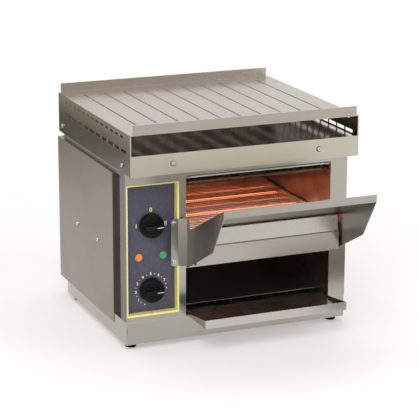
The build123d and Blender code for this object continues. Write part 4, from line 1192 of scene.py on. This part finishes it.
# ------------------------------------------------------------------ heating chamber
@dataclass
class Heaters(Machine):
    """Quartz tubes with a glowing coil inside."""

    tube_r: float = 5.5 * MM
    wall: float = 0.9 * MM
    coil_r: float = 2.6 * MM
    wire_r: float = 0.55 * MM
    coil_pitch: float = 4.6 * MM
    coil_inset: float = 6.0 * MM

    def build(self) -> None:
        """Makes the upper and lower rows of three tubes."""
        for node in ("upper_tubes", "lower_tubes"):
            low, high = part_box(node)
            length = high.x - low.x
            rows = (low.y + self.tube_r, (low.y + high.y) / 2, high.y - self.tube_r)
            places = [Axis.RIGHT.at((low.x, y, (low.z + high.z) / 2)) for y in rows]
            glass = Bench.copies(self.tube_pattern(f"{node}_glass", length), places)
            self.hand_over(Bench.smooth(glass), "quartz", "quartz", node)
            wires = Bench.copies(self.coil_pattern(f"{node}_coils", length), places)
            self.hand_over(Bench.smooth(wires, 60.0), "quartz", "hot_wire")

    def tube_pattern(self, name: str, length: float) -> Piece:
        """An open glass tube.

        Args:
            name: The piece's name.
            length: Its length.

        Returns:
            The tube.
        """
        tube = Bench.cylinder(name, self.tube_r, length, sides=28)
        with Bench.edit(tube, Ends.BOTH):
            bpy.ops.mesh.delete(type="ONLY_FACE")
        Bench.modify(tube, "SOLIDIFY", thickness=self.wall, offset=-1.0)
        return tube

    def coil_pattern(self, name: str, length: float) -> Piece:
        """A coiled wire along the middle of a tube, wound from one small ring.

        Args:
            name: The piece's name.
            length: The tube's length.

        Returns:
            The coil.
        """
        coil = Bench.add(name, bpy.ops.mesh.primitive_circle_add, vertices=6, radius=self.wire_r,
                         location=(self.coil_r, 0, 0), rotation=(math.pi / 2, 0, 0))
        turns = int((length - 2 * self.coil_inset) / self.coil_pitch)
        Bench.modify(coil, "SCREW", angle=math.tau, screw_offset=self.coil_pitch, iterations=turns, steps=12,
                     render_steps=12, use_normal_calculate=True)
        with Bench.edit(coil):
            bpy.ops.mesh.fill_holes(sides=8)
            bpy.ops.mesh.normals_make_consistent(inside=False)
        return Bench.move(coil, Matrix.Translation((0, 0, (length - turns * self.coil_pitch) / 2)))


# ------------------------------------------------------------------ front shield's upstand
@dataclass
class ShieldUpstand(Machine):
    """The folded plate behind the front shield that closes the gap up to the feed tray's floor."""

    sheet: float = 1.0 * MM
    setback: float = 2.5 * MM
    lip: float = 2.2 * MM
    flange: float = 7.0 * MM
    folds: tuple[tuple[float, float], ...] = ((6.5 * MM, 0.5 * MM), (25.0 * MM, 2.8 * MM))
    side_gap: float = 1.4 * MM

    def build(self) -> None:
        """Makes the plate from its flange upwards, one fold's rise and set back after the other."""
        low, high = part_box("front_shield")
        size = (high.x - low.x - 2 * self.side_gap, self.sheet, self.flange)
        depth = low.y + self.setback + self.sheet / 2
        middle = ((low.x + high.x) / 2, depth, high.z - self.lip - self.flange / 2)
        plate = Bench.block("shield_upstand", size, middle)
        with Bench.edit(plate, Ends.TOP):
            for rise, back in self.folds:
                Bench.push(rise, back)
        Bench.round_edges(plate, 0.25 * MM, 2, 60.0)
        self.hand_over(plate, "brushed_stainless", "tray_steel")


# ------------------------------------------------------------------ guard rod
@dataclass
class GuardRod(Machine):
    """The guard rod under the mouth's upper edge, with the two bent clips that hold it."""

    radius: float = 1.8 * MM
    forward: float = 8.0 * MM
    wall: float = 1.2 * MM
    clip: float = 7.0 * MM
    clip_inset: float = 5.0 * MM
    tail: float = 9.0 * MM

    def build(self) -> None:
        """Makes the rod and its clips."""
        low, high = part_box("guard_rod")
        middle = (low + high) / 2 - Vector((0, self.forward, 0))
        rod = Bench.cylinder("guard_rod_bar", self.radius, high.x - low.x, sides=32)
        Bench.round_edges(rod, 0.4 * MM, 2, 60.0)
        Bench.smooth(Bench.move(rod, Axis.RIGHT.at((low.x, middle.y, middle.z))))
        # The rod's near-white finish is a painted reflection that makes it read bright.
        self.hand_over(rod, "bright_stainless", "rod_steel_painted_bright", "guard_rod")
        starts = (low.x + self.clip_inset, high.x - self.clip_inset - self.clip)
        clips = Bench.copies(self.pattern(), [Axis.RIGHT.at((x, middle.y, middle.z)) for x in starts])
        self.hand_over(Bench.smooth(clips), "plated_steel", "shaft_steel")

    def pattern(self) -> Piece:
        """One clip along +Z: a sleeve round the rod with a tail behind it."""
        sleeve = Bench.cylinder("rod_clips", self.radius + self.wall, self.clip, sides=24)
        with Bench.edit(sleeve, Ends.BOTH):
            bpy.ops.mesh.inset(thickness=self.wall * 0.9)
        Bench.round_edges(sleeve, 0.2 * MM, 2)
        size = (self.wall, self.tail, self.clip)
        tail = Bench.block("tail", size, (-self.radius - self.wall / 2, self.tail / 2, self.clip / 2))
        Bench.round_edges(tail, 0.2 * MM, 2)
        return Bench.join(sleeve.name, [sleeve, tail])


# ------------------------------------------------------------------ feet
@dataclass
class Footing(Machine):
    """Turned rubber feet with a hollow underside."""

    radius: float = 11.5 * MM
    taper: float = 0.86
    tread: float = 2.4 * MM
    hollow: float = 1.2 * MM

    def build(self) -> None:
        """Makes the four feet."""
        low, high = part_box("rubber_feet")
        foot = Bench.cylinder("rubber_foot_set", self.radius, high.z - low.z, sides=64)
        with Bench.edit(foot, Ends.BOTTOM):
            Bench.taper(self.taper)
            bpy.ops.mesh.inset(thickness=self.tread)
            Bench.push(self.hollow)
        Bench.round_edges(foot, 1.1 * MM, 4, 30.0)
        places = [Matrix.Translation((x, y, low.z)) for x in (low.x + self.radius, high.x - self.radius)
                  for y in (low.y + self.radius, high.y - self.radius)]
        feet = Bench.smooth(Bench.copies(foot, places))
        self.hand_over(feet, "foot_rubber", "foot_rubber", "rubber_feet")


# ------------------------------------------------------------------ sheet edges
@dataclass
class SheetEdges:
    """Rounded edges on the carried-over sheet pieces, so that they catch the light."""

    widths: dict[float, str] = field(default_factory=lambda: {
        0.28 * MM: "lower_deck front_shield feed_tray base_pan collection_tray left_side_panel "
                   "right_side_panel rear_cover return_chute",
        0.45 * MM: "rack_frame rack_deck front_fascia control_bezel",
    })

    def build(self) -> None:
        """Closes the sheets' corners, merges their flats and rounds their edges."""
        for width, nodes in self.widths.items():
            for node in nodes.split():
                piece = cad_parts[node]
                Bench.attach(piece, "WELD", merge_threshold=TINY / 10)
                Bench.attach(piece, "DECIMATE", decimate_type="DISSOLVE", angle_limit=math.radians(1.0))
                Bench.attach(piece, "BEVEL", width=width, segments=2, limit_method="ANGLE",
                             angle_limit=math.radians(50.0), use_clamp_overlap=True, harden_normals=True)
                log.info("%s has rounded edges", node)


# ------------------------------------------------------------------ studio
@dataclass(frozen=True)
class Card:
    """A card that only metal sees, at a spot, turned by degrees, of a size."""

    name: str
    colour: Colour
    spot: tuple[float, float, float]
    turn: tuple[float, float, float]
    size: tuple[float, float]


@dataclass(frozen=True)
class SoftLamp:
    """A square area lamp at a spot, of a size, a power and a tint."""

    name: str
    spot: tuple[float, float, float]
    size: float
    power: float
    tint: Colour


@dataclass
class Studio:
    """Pale floor, soft lamps, cards and the camera."""

    azimuth: float = 22.88
    elevation: float = 15.61
    roll: float = 0.2
    distance: float = 3.37034
    target: tuple[float, float, float] = (0.01074, 0.0617, 0.20248)
    lens: float = 149.87
    floor: FloorPaper = FloorPaper("floor_paper", (0.93, 0.93, 0.93), 0.9)
    daylight: Colour = (1.0, 0.985, 0.96)
    daylight_power: float = 0.55
    lamps: tuple[SoftLamp, ...] = (
        SoftLamp("key", (-1.6, -2.2, 2.6), 1.8, 55.0, (1.0, 0.98, 0.95)),
        SoftLamp("fill", (2.4, -1.6, 1.8), 1.6, 25.0, (1.0, 0.99, 0.97)),
        SoftLamp("top", (0.2, 0.8, 3.0), 2.2, 30.0, (1.0, 1.0, 1.0)),
    )
    cards: tuple[Card, ...] = (
        Card("back_card", (0.30, 0.27, 0.235), (-1.1, 1.22, 0.35), (90.0, 0.0, 0.0), (2.4, 0.7)),
        Card("right_card", (0.11, 0.075, 0.055), (0.40, -0.48, 0.001), (0.0, 0.0, 0.0), (0.36, 0.30)),
        Card("left_card", (0.06, 0.05, 0.045), (-0.288, -0.742, 0.001), (0.0, 0.0, -66.7), (1.09, 0.54)),
        Card("warm_card", (0.85, 0.74, 0.32), (0.54, -1.43, 0.001), (0.0, 0.0, 0.0), (0.26, 0.16)),
        Card("lip_card", (0.14, 0.12, 0.10), (0.44, -1.20, 0.001), (0.0, 0.0, 0.0), (0.50, 0.10)),
    )

    def build(self) -> None:
        """Places everything."""
        self.plane("floor", self.floor, size=60.0)
        self.build_world()
        for lamp in self.lamps:
            self.build_lamp(lamp)
        for card in self.cards:
            self.build_card(card)
        self.build_camera()

    @staticmethod
    def plane(name: str, paper: Finish, **place: object) -> Piece:
        """A plane that is part of the stage.

        Args:
            name: Its name.
            paper: Its finish.
            place: Its size and place.

        Returns:
            The plane.
        """
        Bench.clear()
        bpy.ops.mesh.primitive_plane_add(**place)
        made = equip(bpy.context.active_object, name=name)
        made.data.materials.append(paper.make())
        return made

    def build_world(self) -> None:
        """White where it is seen, softer as light."""
        world = equip(bpy.data.worlds.new("studio"), use_nodes=True)
        bpy.context.scene.world = world
        board = Board(world.node_tree)
        lit = board.fill(board.tree.nodes["Background"], self.daylight, self.daylight_power)
        seen = board.fill(board.put("Background"), (1.0, 1.0, 1.0), 1.0)
        path = board.put("LightPath").outputs
        either = board.reckon("MAXIMUM", path["Is Camera Ray"], path["Is Glossy Ray"])
        board.show("World Output", board.reckon("MAXIMUM", either, path["Is Transmission Ray"]), lit, seen)

    def build_lamp(self, lamp: SoftLamp) -> None:
        """Hangs a lamp and turns it to the machine.

        Args:
            lamp: The lamp.
        """
        data = equip(bpy.data.lights.new(lamp.name, "AREA"), energy=lamp.power, size=lamp.size,
                     color=lamp.tint)
        made = bpy.data.objects.new(lamp.name, data)
        bpy.context.scene.collection.objects.link(made)
        sight = Vector(self.target) - Vector(lamp.spot)
        equip(made, location=lamp.spot, rotation_euler=sight.to_track_quat("-Z", "Y").to_euler())

    def build_card(self, card: Card) -> None:
        """Stands a card where the metal's reflections take its tone.

        Args:
            card: The card.
        """
        made = self.plane(card.name, Finish(card.name + "_paper", card.colour, 1.0), size=1.0,
                          location=card.spot, rotation=[math.radians(turn) for turn in card.turn])
        equip(made, scale=(*card.size, 1.0), visible_camera=False, visible_diffuse=False,
              visible_shadow=False, visible_transmission=False)

    def build_camera(self) -> None:
        """The camera, at its distance along its line of sight."""
        turn, lift, lean = (math.radians(angle) for angle in (self.azimuth, self.elevation, self.roll))
        forward = Vector((math.sin(turn) * math.cos(lift), math.cos(turn) * math.cos(lift), -math.sin(lift)))
        level = Vector((math.cos(turn), -math.sin(turn), 0.0))
        right = math.cos(lean) * level + math.sin(lean) * level.cross(forward)
        data = equip(bpy.data.cameras.new("camera"), lens=self.lens, sensor_width=36.0, clip_start=0.1,
                     clip_end=200.0)
        camera = bpy.data.objects.new("camera", data)
        bpy.context.scene.collection.objects.link(camera)
        turned = Matrix((right, right.cross(forward), -forward)).transposed().to_4x4()
        camera.matrix_world = Matrix.Translation(Vector(self.target) - forward * self.distance) @ turned
        bpy.context.scene.camera = camera


def main() -> None:
    """Builds the studio, the finishes and every sub-assembly."""
    logging.basicConfig(level=logging.INFO, format="%(message)s")
    bpy.context.scene.view_settings.view_transform = "Standard"
    Studio().build()
    book = FinishBook()
    book.build()
    for assembly in (PanHeads, Controls, WindowTrim, Heaters, ShieldUpstand, GuardRod, Footing):
        assembly(book).build()
    SheetEdges().build()
    Bench.clear()


if __name__ == "__main__":
    main()
